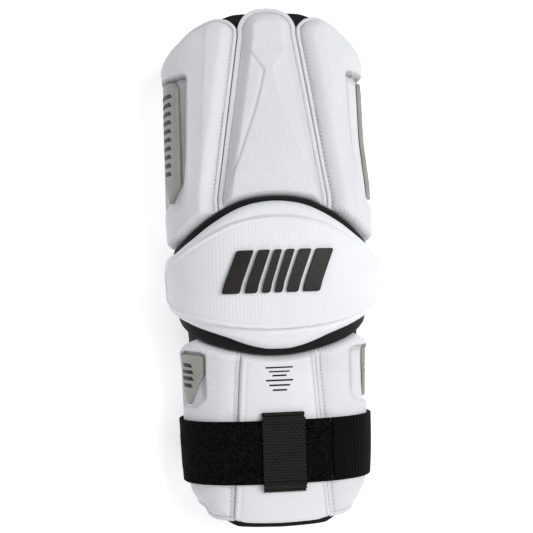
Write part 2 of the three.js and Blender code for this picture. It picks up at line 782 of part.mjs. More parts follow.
// Forearm side panels, with a recess for the insert above the strap
const forearmSide = {
  low: shifted(forearmCentreHalf, panelGap),
  high: (along) => girthAtAngle(along, forearmWrap * degrees),
  foot: forearmFoot,
  top: forearmTop,
};
const forearmRecessFoot = forearmRecessTop - forearmRecessLength;
const forearmRecessEdge = (girth) => Math.min(forearmRecessTop, insetRow(forearmTop, -seamInset - 1)(girth));
function forearmRecess(girth, along) {
  const near = ease((girth - forearmRecessGirth) / recessWall);
  const far = ease((forearmRecessFarGirth - girth) / recessWall);
  const above = ease((forearmRecessEdge(girth) - along) / recessWall);
  const below = ease((along - forearmRecessFoot) / recessWall);
  return near * far * above * below;
}
function forearmSideHeight(girth, along) {
  const outward = ease((girth - sideStart(along)) / (forearmRecessFarGirth - sideStart(along)));
  const full = mix(forearmThickness, forearmSideThickness, outward);
  const body = cushion(edgeDistance(girth, along, forearmSide), full);
  return clearance + body - forearmRecessDepth * forearmRecess(girth, along) * clamp01(body / full);
}
function sideStart(along) {
  return forearmSide.low(along) + seamInset;
}
for (const { word, side } of sides)
  addPiece(
    "forearm_" + word + "_panel",
    panel({
      side,
      columns: [
        ...edgeSteps.map((by) => shifted(forearmSide.low, by)),
        ...between(shifted(forearmSide.low, edgeSteps[3]), fixed(forearmRecessGirth), 1),
        fixed(forearmRecessGirth),
        fixed(forearmRecessGirth + recessWall),
        ...between(fixed(forearmRecessGirth + recessWall), fixed(forearmRecessFarGirth - recessWall), 3),
        fixed(forearmRecessFarGirth - recessWall),
        fixed(forearmRecessFarGirth),
        ...edgeSteps.map((by) => shifted(forearmSide.high, -by)).reverse(),
      ],
      rows: [
        ...edgeSteps.map((by) => insetRow(forearmFoot, by)),
        ...between(insetRow(forearmFoot, seamInset + shoulderRun * 0.45), fixed(forearmRecessFoot), 2),
        fixed(forearmRecessFoot),
        fixed(forearmRecessFoot + recessWall),
        ...between(fixed(forearmRecessFoot + recessWall), shifted(forearmRecessEdge, -recessWall), 2),
        shifted(forearmRecessEdge, -recessWall),
        forearmRecessEdge,
        ...edgeSteps.slice(0, 3).map((by) => insetRow(forearmTop, -by)).reverse(),
      ],
      outer: forearmSideHeight,
      inner: fixed(clearance),
    }),
    "white",
  );
const forearmInsertThickness = forearmRecessDepth - insertStep - seatGap;
for (const { word, side } of sides)
  addPiece(
    "forearm_" + word + "_insert",
    panel({
      side,
      ...chamferedPlate({
        girth: forearmInsertGirth + 0.6,
        width: forearmInsertWidth,
        top: shifted(forearmRecessEdge, -recessWall - 0.6),
        length: forearmInsertLength - recessWall,
        lift: forearmSideHeight,
        thickness: forearmInsertThickness,
        footPoint: 0.42,
        corner: 2.5,
        cornerRun: 4,
        tip: { near: 23, far: 20 },
      }),
    }),
    "grey",
  );

// Strap: fuzzy pile cloth over the crown and the left side, ribbed elastic round the right side. It lies on the
// forearm panels and comes down to the sleeve behind them.
const strapBack = girthAtAngle(strapCentre, forearmWrap * degrees);
const strapGirth = halfGirth(strapCentre);
const strapLift = (girth) => {
  const fromCrown = Math.abs(girth) > strapGirth ? 2 * strapGirth - Math.abs(girth) : Math.abs(girth);
  const outward = ease((fromCrown - forearmCentreFootHalf) / (forearmRecessFarGirth - forearmCentreFootHalf));
  const onPanel = mix(forearmThickness, forearmSideThickness, outward);
  const behind = roundUp((strapBack + 0.7 * shoulderRun - fromCrown) / (1.8 * shoulderRun));
  return clearance + (onPanel + clearance) * behind;
};
function strapPiece(from, to, count) {
  const columns = [from, ...between(from, to, count), to];
  const rows = [-0.5, 0, 0.5].map((share) => fixed(strapCentre + strapWidth * share));
  return panel({
    columns,
    rows,
    outer: (girth) => strapLift(girth) + strapThickness,
    inner: (girth) => strapLift(girth),
  });
}
const strapEnd = (along) => 2 * halfGirth(along) - strapMeetGirth - clearance;
addPiece("strap_pile", strapPiece(fixed(-strapMeetGirth), fixed(strapSeamGirth), 34), "black");
addPiece("strap_elastic", strapPiece(fixed(strapSeamGirth + clearance), strapEnd, 25), "black");

// Strap keeper: a webbing loop over the strap, turned down and sewn to the centre panel at both ends.
const keeperLift = (girth, along) => {
  const past = Math.abs(along - strapCentre) - strapWidth / 2 - 1;
  const over = strapLift(girth) + strapThickness + clearance;
  const down = clearance + forearmThickness + clearance;
  return mix(over, down, ease(past / keeperTurn));
};
addPiece(
  "strap_keeper",
  panel({
    columns: [0, 1 / 3, 2 / 3, 1].map((share) => fixed(keeperOffset + keeperWidth * (share - 0.5))),
    rows: [
      -keeperLength / 2,
      -strapWidth / 2 - 1 - keeperTurn,
      -strapWidth / 2 - 1 - keeperTurn / 2,
      -strapWidth / 2 - 1,
      -strapWidth / 6,
      strapWidth / 6,
      strapWidth / 2 + 1,
      strapWidth / 2 + 1 + keeperTurn / 2,
      strapWidth / 2 + 1 + keeperTurn,
      keeperLength / 2,
    ].map((by) => fixed(strapCentre + by)),
    outer: (girth, along) => keeperLift(girth, along) + keeperThickness,
    inner: keeperLift,
  }),
  "webbing",
);

export default pad;
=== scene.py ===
"""The finish of a lacrosse arm pad: moulded white panels, an elbow cap and a strap on a black sleeve.

Places are worked out in millimetres as (girth, along), as on the frame. Girth is the distance round the
sleeve from its crown line, and along is the distance from the pad's middle towards the upper arm.
"""

import math

import bpy
import numpy as np
from mathutils import Matrix, Vector


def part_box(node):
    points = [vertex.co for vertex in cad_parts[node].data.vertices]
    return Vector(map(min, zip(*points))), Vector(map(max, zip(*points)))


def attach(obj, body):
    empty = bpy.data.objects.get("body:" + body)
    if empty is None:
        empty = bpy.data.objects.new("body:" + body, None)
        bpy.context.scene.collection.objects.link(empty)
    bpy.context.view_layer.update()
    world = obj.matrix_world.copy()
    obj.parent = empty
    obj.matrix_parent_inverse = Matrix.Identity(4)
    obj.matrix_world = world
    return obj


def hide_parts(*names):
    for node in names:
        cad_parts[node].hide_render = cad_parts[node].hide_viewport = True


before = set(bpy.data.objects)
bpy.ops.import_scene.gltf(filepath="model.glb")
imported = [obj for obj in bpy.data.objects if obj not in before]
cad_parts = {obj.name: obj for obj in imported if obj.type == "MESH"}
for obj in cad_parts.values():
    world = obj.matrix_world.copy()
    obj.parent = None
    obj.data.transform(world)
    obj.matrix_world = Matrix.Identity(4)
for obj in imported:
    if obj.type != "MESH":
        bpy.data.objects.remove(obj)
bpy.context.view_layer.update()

bl_info = {
    "name": "Lacrosse arm pad",
    "version": (1, 0, 0),
    "blender": (4, 5, 0),
    "location": "3D View > Sidebar > Arm pad",
    "description": "Builds the panels, elbow cap, strap and sleeve of an arm pad on its frame",
    "category": "Object",
}

MM = 0.001
SIDES = (("left", -1), ("right", 1))

# Overall sizes, the sleeve's from the frame
PAD_LENGTH = -2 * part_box("sleeve")[0].y / MM
UPPER_END = PAD_LENGTH / 2
FOREARM_END = -PAD_LENGTH / 2
SLEEVE_WALL = 2.5
CLEARANCE = 0.5
UPPER_SLEEVE = {"width": 136.6, "height": 87}
ELBOW_SLEEVE = {"width": 132, "height": 90.5}
FOREARM_SLEEVE = {"width": 121, "height": 72}

# Section shape: exponents of the arch and the belly, the belly's depth, and the rounding down to the floor
ARCH_EXPONENT = 2.5
BELLY_EXPONENT = 2.6
BELLY_DEPTH = 1.35
FLOOR_ROUNDING = 4

# The sleeve's hem, and its wrinkles beside the elbow
HEM_WIDTH = 9
HEM_RISE = 0.5
WRINKLE_DEPTH = 0.9

# Strap and keeper
STRAP_WIDTH = 45.5
STRAP_THICKNESS = 2.6
STRAP_CENTRE = FOREARM_END + 57
STRAP_SEAM = 34
STRAP_MEET = 150
STRAP_FALL = 9
STRAP_ROUNDING = 0.8
KEEPER_WIDTH = 32
KEEPER_LENGTH = 57
KEEPER_THICKNESS = 1.8
KEEPER_OFFSET = 1.9
KEEPER_TURN = 3.4
KEEPER_FOLD = 8.5
KEEPER_SPREAD = 1.11
WEB_ROW = 0.88
WEB_RELIEF = 0.5
KEEPER_FOLD_RISE = 1.1
KEEPER_ROUNDING = 0.7
TACKING_DEPTH = 0.35
SELVEDGE_RISE = 0.25
SELVEDGE_WAVE = 0.35

# Upper panels
CENTRE_TOP_HALF = 21
CENTRE_FOOT_HALF = 39
CENTRE_THICKNESS = 12
CENTRE_BEVEL = 3.4
SIDE_THICKNESS = 11.5
RIDGE_THICKNESS = 13
WING_THICKNESS = 8.5
RIDGE_TOP = 39
RIDGE_FOOT = 48
WING_WRAP = math.radians(114)
SIDE_DROP = 42
RECESS_DEPTH = 4.6
RECESS_TOP = 142
RECESS_FOOT = 42
RECESS_FADE = 12
RECESS_GIRTH_TOP = 52
RECESS_GIRTH_FOOT = 57.5
RECESS_FAR = 104
RECESS_CORNER = 4.5
RIGHT_SHIFT = 1
RIGHT_TUCK = 17
UPPER_LEAN = 3.5

# Elbow cap and its backing
ELBOW_TOP = 51.3
ELBOW_FOOT = 61.3
ELBOW_REACH = 118
BACKING_THICKNESS = 5
CAP_REVEAL = 4
CAP_THICKNESS = 11.5
CAP_SIDE_THICKNESS = 6.7
CAP_RAISE = 4.6
CAP_EDGE = 1.8
CAP_ROLL = 6.5
CAP_CROWN = 15
LENS_REACH = 79
LENS_TOP = 35.7
LENS_FOOT = 37.8

# Badge blocks on the cap
BADGE_WIDTH = 67
BADGE_HEIGHT = 27
BADGE_THICKNESS = 2.4
BADGE_SLANT = 9
BADGE_GAP = 2.6
BADGE_CENTRE = -1.5
BADGE_CORNER = 1.2
BADGE_SEAT = 0.3
BLOCK_SHARES = (0.22, 0.162, 0.118, 0.118, 0.162, 0.22)

# Forearm panels
FOREARM_WRAP = math.radians(106)
FOREARM_THICKNESS = 9
FOREARM_SIDE_THICKNESS = 7.6
FOREARM_TOP_HALF = 26
FOREARM_FOOT_HALF = 34
FOREARM_RIM = 4
FOREARM_RISE = 34
FOREARM_RECESS_TOP = -55.6
FOREARM_RECESS_LENGTH = 45
FOREARM_RECESS_GIRTH = 48.5
FOREARM_RECESS_FAR = 88
FOREARM_RECESS_DEPTH = 3.8
FOREARM_LIP = 5.8
FOREARM_SEAM_DEPTH = 0.45
FOREARM_WELT = 0.7
FOREARM_CROWN = 0.5
FOREARM_PLEAT = 0.9
FOREARM_SLANT = 9
FOREARM_GAP = 0.1
PRINT_SEAT = -0.2

# Camera: angles of the photograph's view, and where the pad's middle stands in its square frame
CAMERA_TILT = math.radians(4.38)
CAMERA_PITCH = math.radians(1.43)
CAMERA_ROLL = math.radians(2.09)
CAMERA_DISTANCE = 0.9
CAMERA_AIM = Vector((0, 0, 0.045))
CAMERA_SENSOR = 36
PHOTO_SIDE = 533
PHOTO_AIM = (270.8, 270.2)
PHOTO_SCALE = 0.00075131

# The studio: half the floor's side in metres, its glow, which keeps it pale round the pad, and the sky
FLOOR_HALF = 3.0
FLOOR_GLOW = 0.5
SKY_COLOUR = (0.93, 0.955, 1.0, 1)
SKY_STRENGTH = 0.35


def size_setting(label, text, size):
    """A size that a user would change, given here in millimetres."""
    return bpy.props.FloatProperty(name=label, description=text, default=size * MM, unit="LENGTH")


def colour_setting(label, text, value):
    """A colour that a user would change."""
    return bpy.props.FloatVectorProperty(
        name=label, description=text, default=value, subtype="COLOR", size=3, min=0, max=1
    )


class ArmPadSizes(bpy.types.PropertyGroup):
    """Sizes of the finish that a user would change."""

    lip_height: size_setting("Lip height", "Thickness of a panel's flat rim, outside its seam", 3.4)
    seam_inset: size_setting("Seam inset", "From a side panel's edge to its seam", 2.9)
    centre_seam_inset: size_setting("Centre seam inset", "From the centre lobe's edge to its seam", 3.6)
    seam_depth: size_setting("Seam depth", "Depth of the stitched groove", 1.2)
    shoulder_run: size_setting("Shoulder run", "Width of the round rise inside a seam", 7)
    stitch_pitch: size_setting("Stitch pitch", "From one stitch to the next", 3)
    knit_pitch: size_setting("Knit pitch", "Width of one diamond in the white cloth", 1.55)
    rib_pitch: size_setting("Rib pitch", "Width of one rib in the cap's cloth", 2.1)
    elastic_pitch: size_setting("Elastic rib pitch", "Width of one rib of the elastic", 2.4)
    web_pitch: size_setting("Webbing pitch", "Width of one yarn of the webbing", 2.3)


class ArmPadColours(bpy.types.PropertyGroup):
    """Colours of the finish that a user would change."""

    white: colour_setting("White cloth", "The moulded panels and the cap", (0.80, 0.81, 0.83))
    satin: colour_setting("White satin", "The forearm's middle panel", (0.80, 0.81, 0.82))
    black: colour_setting("Black cloth", "The sleeve and the elbow backing", (0.005, 0.0045, 0.0045))
    pile: colour_setting("Black pile", "The strap's fuzzy part", (0.0021, 0.0018, 0.0017))
    webbing: colour_setting("Black webbing", "The keeper over the strap", (0.0045, 0.0038, 0.003))
    plate: colour_setting("Grey plastic", "The plates in the recesses", (0.315, 0.315, 0.285))
    rubber: colour_setting("Charcoal rubber", "The blocks on the cap", (0.017, 0.014, 0.0125))


def sizes(name):
    """One of the user's sizes, in millimetres."""
    return getattr(bpy.context.scene.arm_pad_sizes, name) / MM


def colour(name):
    """One of the user's colours, with its alpha."""
    return (*getattr(bpy.context.scene.arm_pad_colours, name), 1)


# Curves and blends
def mix(a, b, t):
    """From a to b as t goes from 0 to 1."""
    return a + (b - a) * t


def clamp01(t):
    """t kept from 0 to 1."""
    return np.clip(t, 0, 1)


def ease(t):
    """A soft step from 0 to 1."""
    t = clamp01(t)
    return t * t * (3 - 2 * t)


def round_up(t):
    """A quarter circle: steep at 0 and level at 1."""
    return np.sqrt(1 - (1 - clamp01(t)) ** 2)


def bump_at(x, middle, width):
    """A soft hump of height 1 at a place."""
    return np.exp(-(((x - middle) / width) ** 2))


def table(columns, rows):
    """A short table's columns by name."""
    return {name: np.array([row[k] for row in rows], float) for k, name in enumerate(columns.split())}


def smooth_curve(xs, ys):
    """A smooth curve without overshoot through a table's rows; its ends carry on flat."""
    xs = np.array(xs, float)
    ys = np.array(ys, float)
    runs = np.diff(xs)
    steps = np.diff(ys) / runs
    before = np.append(steps[:1], steps)
    after = np.append(steps, steps[-1:])
    same_way = before * after > 0
    slopes = np.where(same_way, 2 * before * after / np.where(same_way, before + after, 1), 0)

    def at(x):
        x = np.clip(x, xs[0], xs[-1])
        i = np.clip(np.searchsorted(xs, x, side="right") - 1, 0, len(runs) - 1)
        t = (x - xs[i]) / runs[i]
        rise = ys[i + 1] - ys[i]
        start = slopes[i] * runs[i] - rise
        end = slopes[i + 1] * runs[i] - rise
        return ys[i] + rise * t + t * (1 - t) * ((1 - t) * start - t * end)

    return at


def table_curve(rows, start, end, start_scale=1.0, end_scale=1.0):
    """The smooth curve from one column of a table to another, with both as shares of named sizes."""
    return smooth_curve(rows[start] * start_scale, rows[end] * end_scale)


# The sleeve's form: along is a share of its length, and the other columns are shares of the stretch's size
SECTION_STRETCHES = [FOREARM_SLEEVE] * 3 + [ELBOW_SLEEVE] * 3 + [UPPER_SLEEVE] * 3
SECTIONS = table(
    "along width height waist",
    [
        (-0.5, 0.926, 0.917, 0.43),
        (-0.346, 1.0, 0.979, 0.458),
        (-0.2, 1.017, 1.028, 0.486),
        (-0.12, 0.962, 0.917, 0.431),
        (-0.027, 1.0, 1.0, 0.453),
        (0.04, 1.015, 0.994, 0.453),
        (0.16, 1.0, 1.0, 0.46),
        (0.4, 0.985, 0.977, 0.448),
        (0.5, 0.937, 0.954, 0.448),
    ],
)
SECTION_ALONG = SECTIONS["along"] * PAD_LENGTH
half_at = smooth_curve(SECTION_ALONG, [s["width"] / 2 for s in SECTION_STRETCHES] * SECTIONS["width"])
height_at = smooth_curve(SECTION_ALONG, [s["height"] for s in SECTION_STRETCHES] * SECTIONS["height"])
waist_at = smooth_curve(SECTION_ALONG, [s["height"] for s in SECTION_STRETCHES] * SECTIONS["waist"])


def floor_at(along):
    """How far the strap presses the sleeve's back up, so that both lie on one level."""
    press = STRAP_THICKNESS + CLEARANCE
    past = np.abs(along - STRAP_CENTRE) - STRAP_WIDTH / 2
    return press * (1 - ease((past - 2) / (4 * press)))


def section_point(along, angle):
    """The point of the sleeve's outer surface at an angle from the crown."""
    along, angle = np.broadcast_arrays(along, angle)
    waist = waist_at(along)
    up = np.cos(angle)
    exponent = np.where(up >= 0, ARCH_EXPONENT, BELLY_EXPONENT)
    depth = np.where(up >= 0, height_at(along) - waist, waist * BELLY_DEPTH)
    side = np.abs(np.sin(angle)) / half_at(along)
    radius = (side**exponent + (np.abs(up) / depth) ** exponent) ** (-1 / exponent)
    floor = floor_at(along)
    clear = waist + radius * up - floor
    share = clamp01(0.5 + 0.5 * clear / FLOOR_ROUNDING)
    z = floor + clear * share + FLOOR_ROUNDING * share * (1 - share)
    return np.stack([radius * np.sin(angle), along, z], -1)


# Angles for even steps of girth at each step along the pad
ALONG_STEP = 1.0
GIRTH_STEP = 0.5
ALONG_PLACES = np.arange(FOREARM_END - 12, UPPER_END + 12, ALONG_STEP)
ANGLE_PLACES = np.linspace(0, math.pi, 361)
SECTION_POINTS = section_point(ALONG_PLACES[:, None], ANGLE_PLACES[None, :])
SECTION_RUNS = np.linalg.norm(np.diff(SECTION_POINTS, axis=1), axis=2)
SECTION_GIRTHS = np.pad(np.cumsum(SECTION_RUNS, axis=1), ((0, 0), (1, 0)))
HALF_GIRTHS = SECTION_GIRTHS[:, -1]
GIRTH_PLACES = np.arange(0, HALF_GIRTHS.max() + GIRTH_STEP, GIRTH_STEP)
ANGLE_TABLE = np.stack([np.interp(GIRTH_PLACES, girths, ANGLE_PLACES) for girths in SECTION_GIRTHS])


def half_girth(along):
    """Distance round the sleeve from the crown to the middle of its back."""
    return np.interp(along, ALONG_PLACES, HALF_GIRTHS)


def girth_at_angle(along, angle):
    """Girth at an angle from the crown."""
    girths = [np.interp(angle, ANGLE_PLACES, row) for row in SECTION_GIRTHS]
    return np.interp(along, ALONG_PLACES, girths)


def angle_at_girth(girth, along):
    """Angle from the crown at a girth, also past the middle of the back."""
    girth, along = np.broadcast_arrays(np.asarray(girth, float), np.asarray(along, float))
    size = np.abs(girth)
    half = half_girth(along)
    past = size > half
    size = np.where(past, 2 * half - size, size)
    row = np.clip((along - ALONG_PLACES[0]) / ALONG_STEP, 0, len(ALONG_PLACES) - 1.001)
    place = np.clip(size / GIRTH_STEP, 0, len(GIRTH_PLACES) - 1.001)
    i, j = row.astype(int), place.astype(int)
    near = mix(ANGLE_TABLE[i, j], ANGLE_TABLE[i, j + 1], place - j)
    far = mix(ANGLE_TABLE[i + 1, j], ANGLE_TABLE[i + 1, j + 1], place - j)
    angle = mix(near, far, row - i)
    return np.where(girth < 0, -1, 1) * np.where(past, 2 * math.pi - angle, angle)


def surface_frame(girth, along):
    """The sleeve's surface point and outward normal at a place."""
    angle = angle_at_girth(girth, along)
    turn, step = 0.01, 0.5
    round_way = section_point(along, angle + turn) - section_point(along, angle - turn)
    lengthwise = section_point(along + step, angle) - section_point(along - step, angle)
    normal = np.cross(round_way, lengthwise)
    return section_point(along, angle), normal / np.linalg.norm(normal, axis=-1, keepdims=True)


def on_sleeve(girth, along, lift):
    """A point lifted off the sleeve along its normal, and never under the surface that the pad lies on.

    The upper right side stands a little steeper.
    """
    point, normal = surface_frame(girth, along)
    point = point + normal * np.asarray(lift)[..., None]
    x, y = point[..., 0], point[..., 1]
    point[..., 0] -= UPPER_LEAN * ease((y - ELBOW_TOP + 6) / 60) * ease((x - 30) / 40)
    point[..., 2] = np.maximum(point[..., 2], 0)
    return point


# Outlines. Shares of named sizes, as on the frame
STEEPEST = 2.4


def slope_factor(edge, girth):
    """What turns a distance square to an edge into one along the pad."""
    return np.minimum(np.hypot(1, edge(girth + 0.5) - edge(girth - 0.5)), STEEPEST)


ELBOW_OUTLINE = table(
    "girth top foot top_inset foot_inset",
    [
        (0, 1.0, 1.0, 0.95, 1.85),
        (0.05, 0.997, 0.998, 1.0, 1.85),
        (0.12, 0.981, 0.985, 1.1, 2.0),
        (0.19, 0.948, 0.961, 1.3, 2.25),
        (0.27, 0.88, 0.925, 1.6, 2.6),
        (0.355, 0.783, 0.88, 1.95, 2.9),
        (0.475, 0.605, 0.8, 2.2, 3.05),
        (0.6, 0.435, 0.69, 2.0, 2.7),
        (0.8, 0.3, 0.53, 1.15, 1.2),
        (0.91, 0.22, 0.49, 1.0, 1.0),
        (1.0, 0.04, 0.37, 1.0, 1.0),
    ],
)
backing_top_curve = table_curve(ELBOW_OUTLINE, "girth", "top", ELBOW_REACH, ELBOW_TOP)
backing_foot_curve = table_curve(ELBOW_OUTLINE, "girth", "foot", ELBOW_REACH, -ELBOW_FOOT)
cap_top_inset = table_curve(ELBOW_OUTLINE, "girth", "top_inset", ELBOW_REACH, CAP_REVEAL)
cap_foot_inset = table_curve(ELBOW_OUTLINE, "girth", "foot_inset", ELBOW_REACH, CAP_REVEAL)
WING_FOOT = table("girth foot", [(0.6, 0.44), (0.8, 0.36), (1.0, 0.33)])
FOREARM_TOP = table("girth top", [(0.5, -0.77), (0.58, -0.815), (0.7, -0.9), (0.95, -1.02)])
wing_foot_curve = table_curve(WING_FOOT, "girth", "foot", ELBOW_REACH, ELBOW_TOP)
forearm_top_curve = table_curve(FOREARM_TOP, "girth", "top", ELBOW_REACH, ELBOW_FOOT)
PANEL_GAP = 0.35


def backing_top(girth):
    """Upper edge of the elbow backing."""
    return backing_top_curve(np.abs(girth))


def backing_foot(girth):
    """Lower edge of the elbow backing."""
    return backing_foot_curve(np.abs(girth))


def cap_top(girth):
    """Upper edge of the elbow cap."""
    return backing_top(girth) - cap_top_inset(np.abs(girth))


def cap_foot(girth):
    """Lower edge of the elbow cap."""
    return backing_foot(girth) + cap_foot_inset(np.abs(girth))


def upper_foot(girth):
    """Lower edge of the upper panels, above the backing and past the cap's flaps."""
    size = np.abs(girth)
    past_cap = np.where(size > WING_FOOT["girth"][0] * ELBOW_REACH, wing_foot_curve(size), -np.inf)
    return np.maximum(backing_top(girth), past_cap) + 2 * PANEL_GAP


def forearm_top(girth):
    """Upper edge of the forearm panels."""
    size = np.abs(girth)
    past_cap = np.where(size > FOREARM_TOP["girth"][0] * ELBOW_REACH, forearm_top_curve(size), np.inf)
    return np.minimum(backing_foot(girth), past_cap) - 2 * PANEL_GAP


# Half girths near the two ends, which the end edges' rows are shares of
UPPER_GIRTH = half_girth(0.42 * PAD_LENGTH)
FOREARM_GIRTH = half_girth(-0.45 * PAD_LENGTH)


def end_edge(end, scale, girth_size, rows):
    """An end's edge: rows of girth, as a share of the half girth there, and depth, as a share of scale."""
    curve = table_curve(table("girth depth", rows), "girth", "depth", girth_size, scale)
    return lambda girth: end + curve(np.abs(girth))


side_lobe_top = end_edge(
    UPPER_END,
    -SIDE_DROP,
    UPPER_GIRTH,
    [
        (0.105, 0.42),
        (0.125, 0.27),
        (0.15, 0.185),
        (0.19, 0.15),
        (0.26, 0.24),
        (0.345, 0.44),
        (0.47, 0.74),
        (0.62, 1.0),
        (0.66, 1.14),
    ],
)
centre_lobe_top = end_edge(
    UPPER_END, -SIDE_DROP, UPPER_GIRTH, [(0, 0), (0.04, 0.02), (0.075, 0.09), (0.1, 0.22), (0.112, 0.36)]
)
sleeve_top = end_edge(
    UPPER_END,
    -SIDE_DROP,
    UPPER_GIRTH,
    [
        (0, 0.07),
        (0.12, 0.08),
        (0.17, 0.13),
        (0.2, 0.2),
        (0.25, 0.42),
        (0.34, 0.7),
        (0.47, 0.95),
        (0.63, 1.22),
        (1.0, 1.3),
    ],
)
forearm_foot = end_edge(
    FOREARM_END + FOREARM_RIM,
    FOREARM_RISE,
    FOREARM_GIRTH,
    [
        (0, 0),
        (0.15, 0.02),
        (0.215, 0.08),
        (0.3, 0.1),
        (0.34, 0.17),
        (0.365, 0.32),
        (0.4, 0.36),
        (0.46, 0.5),
        (0.51, 0.76),
        (0.63, 1.0),
        (0.66, 1.1),
    ],
)
sleeve_foot = end_edge(
    FOREARM_END,
    FOREARM_RISE,
    FOREARM_GIRTH,
    [(0, 0), (0.2, 0.03), (0.26, 0.14), (0.33, 0.36), (0.4, 0.48), (0.47, 0.56), (1.0, 0.56)],
)


# How the places between curved edges are found: each step moves them a share of the way to where they belong
SETTLING_STEPS = 16
SETTLING_SHARE = 0.8


class Edges:
    """A panel's four edges: low and high are curves girth(along), foot and top are curves along(girth).

    seams and rims name the sides with a stitched lip and those without one, in rows that run anticlockwise.
    """

    def __init__(self, low, high, foot, top, seams, rims):
        self.low = low
        self.high = high
        self.foot = foot
        self.top = top
        self.seams = [self.line(row) for row in seams]
        self.rims = [self.line(row) for row in rims]

    def places(self, across, up):
        """Girth and along of a grid of shares across and up."""
        across = np.asarray(across, float)[None, :]
        up = np.asarray(up, float)[:, None]
        along = np.zeros((up.shape[0], across.shape[1]))
        for _ in range(SETTLING_STEPS):
            girth = mix(self.low(along), self.high(along), across)
            along = mix(along, mix(self.foot(girth), self.top(girth), up), SETTLING_SHARE)
        return girth, along

    def line(self, sides, count=150):
        """The open line along sides that follow one another."""
        shares = np.linspace(0, 1, count)
        ways = {
            "foot": (shares, [0]),
            "high": ([1], shares),
            "top": (shares[::-1], [1]),
            "low": ([0], shares[::-1]),
        }
        parts = [np.stack([p.ravel() for p in self.places(*ways[side])], 1) for side in sides.split()]
        return np.concatenate(parts)

    def distances(self, girth, along):
        """Distance to the seams and to the rims, and how far along a seam its nearest point is."""
        seam, round_it = to_lines(girth, along, self.seams)
        rim, _ = to_lines(girth, along, self.rims)
        return seam, rim, round_it


def fixed(value):
    """A curve that is level."""
    return lambda place: np.full(np.shape(place), float(value))


def to_line(girth, along, line):
    """Distance from places to an open line, and how far along it the nearest point is."""
    shape = np.shape(girth)
    places = np.stack([np.ravel(girth), np.ravel(along)], 1)
    starts, runs = line[:-1], np.diff(line, axis=0)
    lengths = np.maximum(np.hypot(runs[:, 0], runs[:, 1]), 1e-9)
    far = np.append(0, np.cumsum(lengths)[:-1])
    distance = np.empty(len(places))
    round_it = np.empty(len(places))
    for part in np.array_split(np.arange(len(places)), len(places) // 3000 + 1):
        away_x = places[part, None, 0] - starts[None, :, 0]
        away_y = places[part, None, 1] - starts[None, :, 1]
        share = clamp01((away_x * runs[:, 0] + away_y * runs[:, 1]) / lengths**2)
        gaps = np.hypot(away_x - share * runs[:, 0], away_y - share * runs[:, 1])
        nearest = gaps.argmin(1)
        rows = np.arange(len(part))
        distance[part] = gaps[rows, nearest]
        round_it[part] = far[nearest] + share[rows, nearest] * lengths[nearest]
    return distance.reshape(shape), round_it.reshape(shape)


def to_lines(girth, along, lines):
    """The same for the nearest of some lines."""
    distance, round_it = to_line(girth, along, lines[0])
    for line in lines[1:]:
        other, other_round = to_line(girth, along, line)
        round_it = np.where(other < distance, other_round, round_it)
        distance = np.minimum(distance, other)
    return distance, round_it


def spaced(length, fine, coarse, marks=(), reach=9):
    """Shares from 0 to 1 of a length, close together at both ends and near each mark."""
    marks = np.array([0, length, *marks])
    places = [0.0]
    while places[-1] < length:
        near = np.abs(places[-1] + fine / 2 - marks).min()
        places.append(places[-1] + mix(fine, coarse, ease(near / reach - 1)))
    return np.array(places) / places[-1]


# Meshes
def link(name, mesh, material):
    """A new object in the scene, with its material."""
    piece = bpy.data.objects.new(name, mesh)
    bpy.context.scene.collection.objects.link(piece)
    mesh.materials.append(material)
    return piece


def mesh_from(points, faces, smooth_angle=55):
    """A smooth-shaded mesh from points in millimetres."""
    mesh = bpy.data.meshes.new("piece")
    mesh.from_pydata((np.asarray(points) * MM).tolist(), [], faces)
    mesh.polygons.foreach_set("use_smooth", [True] * len(mesh.polygons))
    mesh.set_sharp_from_angle(angle=math.radians(smooth_angle))
    return mesh


def add_uv(mesh, name, values):
    """A UV map in metres from one value pair, in millimetres, for each corner of each face."""
    layer = mesh.uv_layers.new(name=name)
    layer.data.foreach_set("uv", (np.asarray(values) * MM).astype(np.float32).ravel())


def shell(name, node, outer, inner, finish, uvs, closed=False):
    """A closed wall over a grid of outer and inner points, (rows, columns, 3) each, in place of its CAD node.

    A closed grid's last column lies on its first one. uvs maps each UV map's name to a (rows, columns, 2)
    array.
    """
    rows, columns = outer.shape[:2]
    across = columns - 1 if closed else columns
    points = np.concatenate([outer[:, :across].reshape(-1, 3), inner[:, :across].reshape(-1, 3)])
    up, first = np.arange(rows - 1), np.arange(columns - 1)
    top, end = rows - 1, columns - 1
    j, i = (each.ravel() for each in np.meshgrid(up, first, indexing="ij"))

    def quads(*corners):
        """Faces from four corners, each a row, a column and a side, where side 1 is the inner one."""
        return np.stack([np.stack(np.broadcast_arrays(*corner), -1) for corner in corners], 1)

    faces = [
        quads((j, i, 0), (j, i + 1, 0), (j + 1, i + 1, 0), (j + 1, i, 0)),
        quads((j, i, 1), (j + 1, i, 1), (j + 1, i + 1, 1), (j, i + 1, 1)),
        quads((0, first, 1), (0, first + 1, 1), (0, first + 1, 0), (0, first, 0)),
        quads((top, first, 0), (top, first + 1, 0), (top, first + 1, 1), (top, first, 1)),
    ]
    if not closed:
        faces.append(quads((up, 0, 0), (up + 1, 0, 0), (up + 1, 0, 1), (up, 0, 1)))
        faces.append(quads((up, end, 1), (up + 1, end, 1), (up + 1, end, 0), (up, end, 0)))
    corners = np.concatenate(faces)
    index = corners[..., 2] * rows * across + corners[..., 0] * across + corners[..., 1] % across
    mesh = mesh_from(points, index.tolist())
    for label, values in uvs.items():
        add_uv(mesh, label, values[corners[..., 0], corners[..., 1]])
    return add_piece(name, node, mesh, finish)


def grid_uv(first, second):
    """Two arrays as one of pairs."""
    return np.stack(np.broadcast_arrays(first, second), -1)


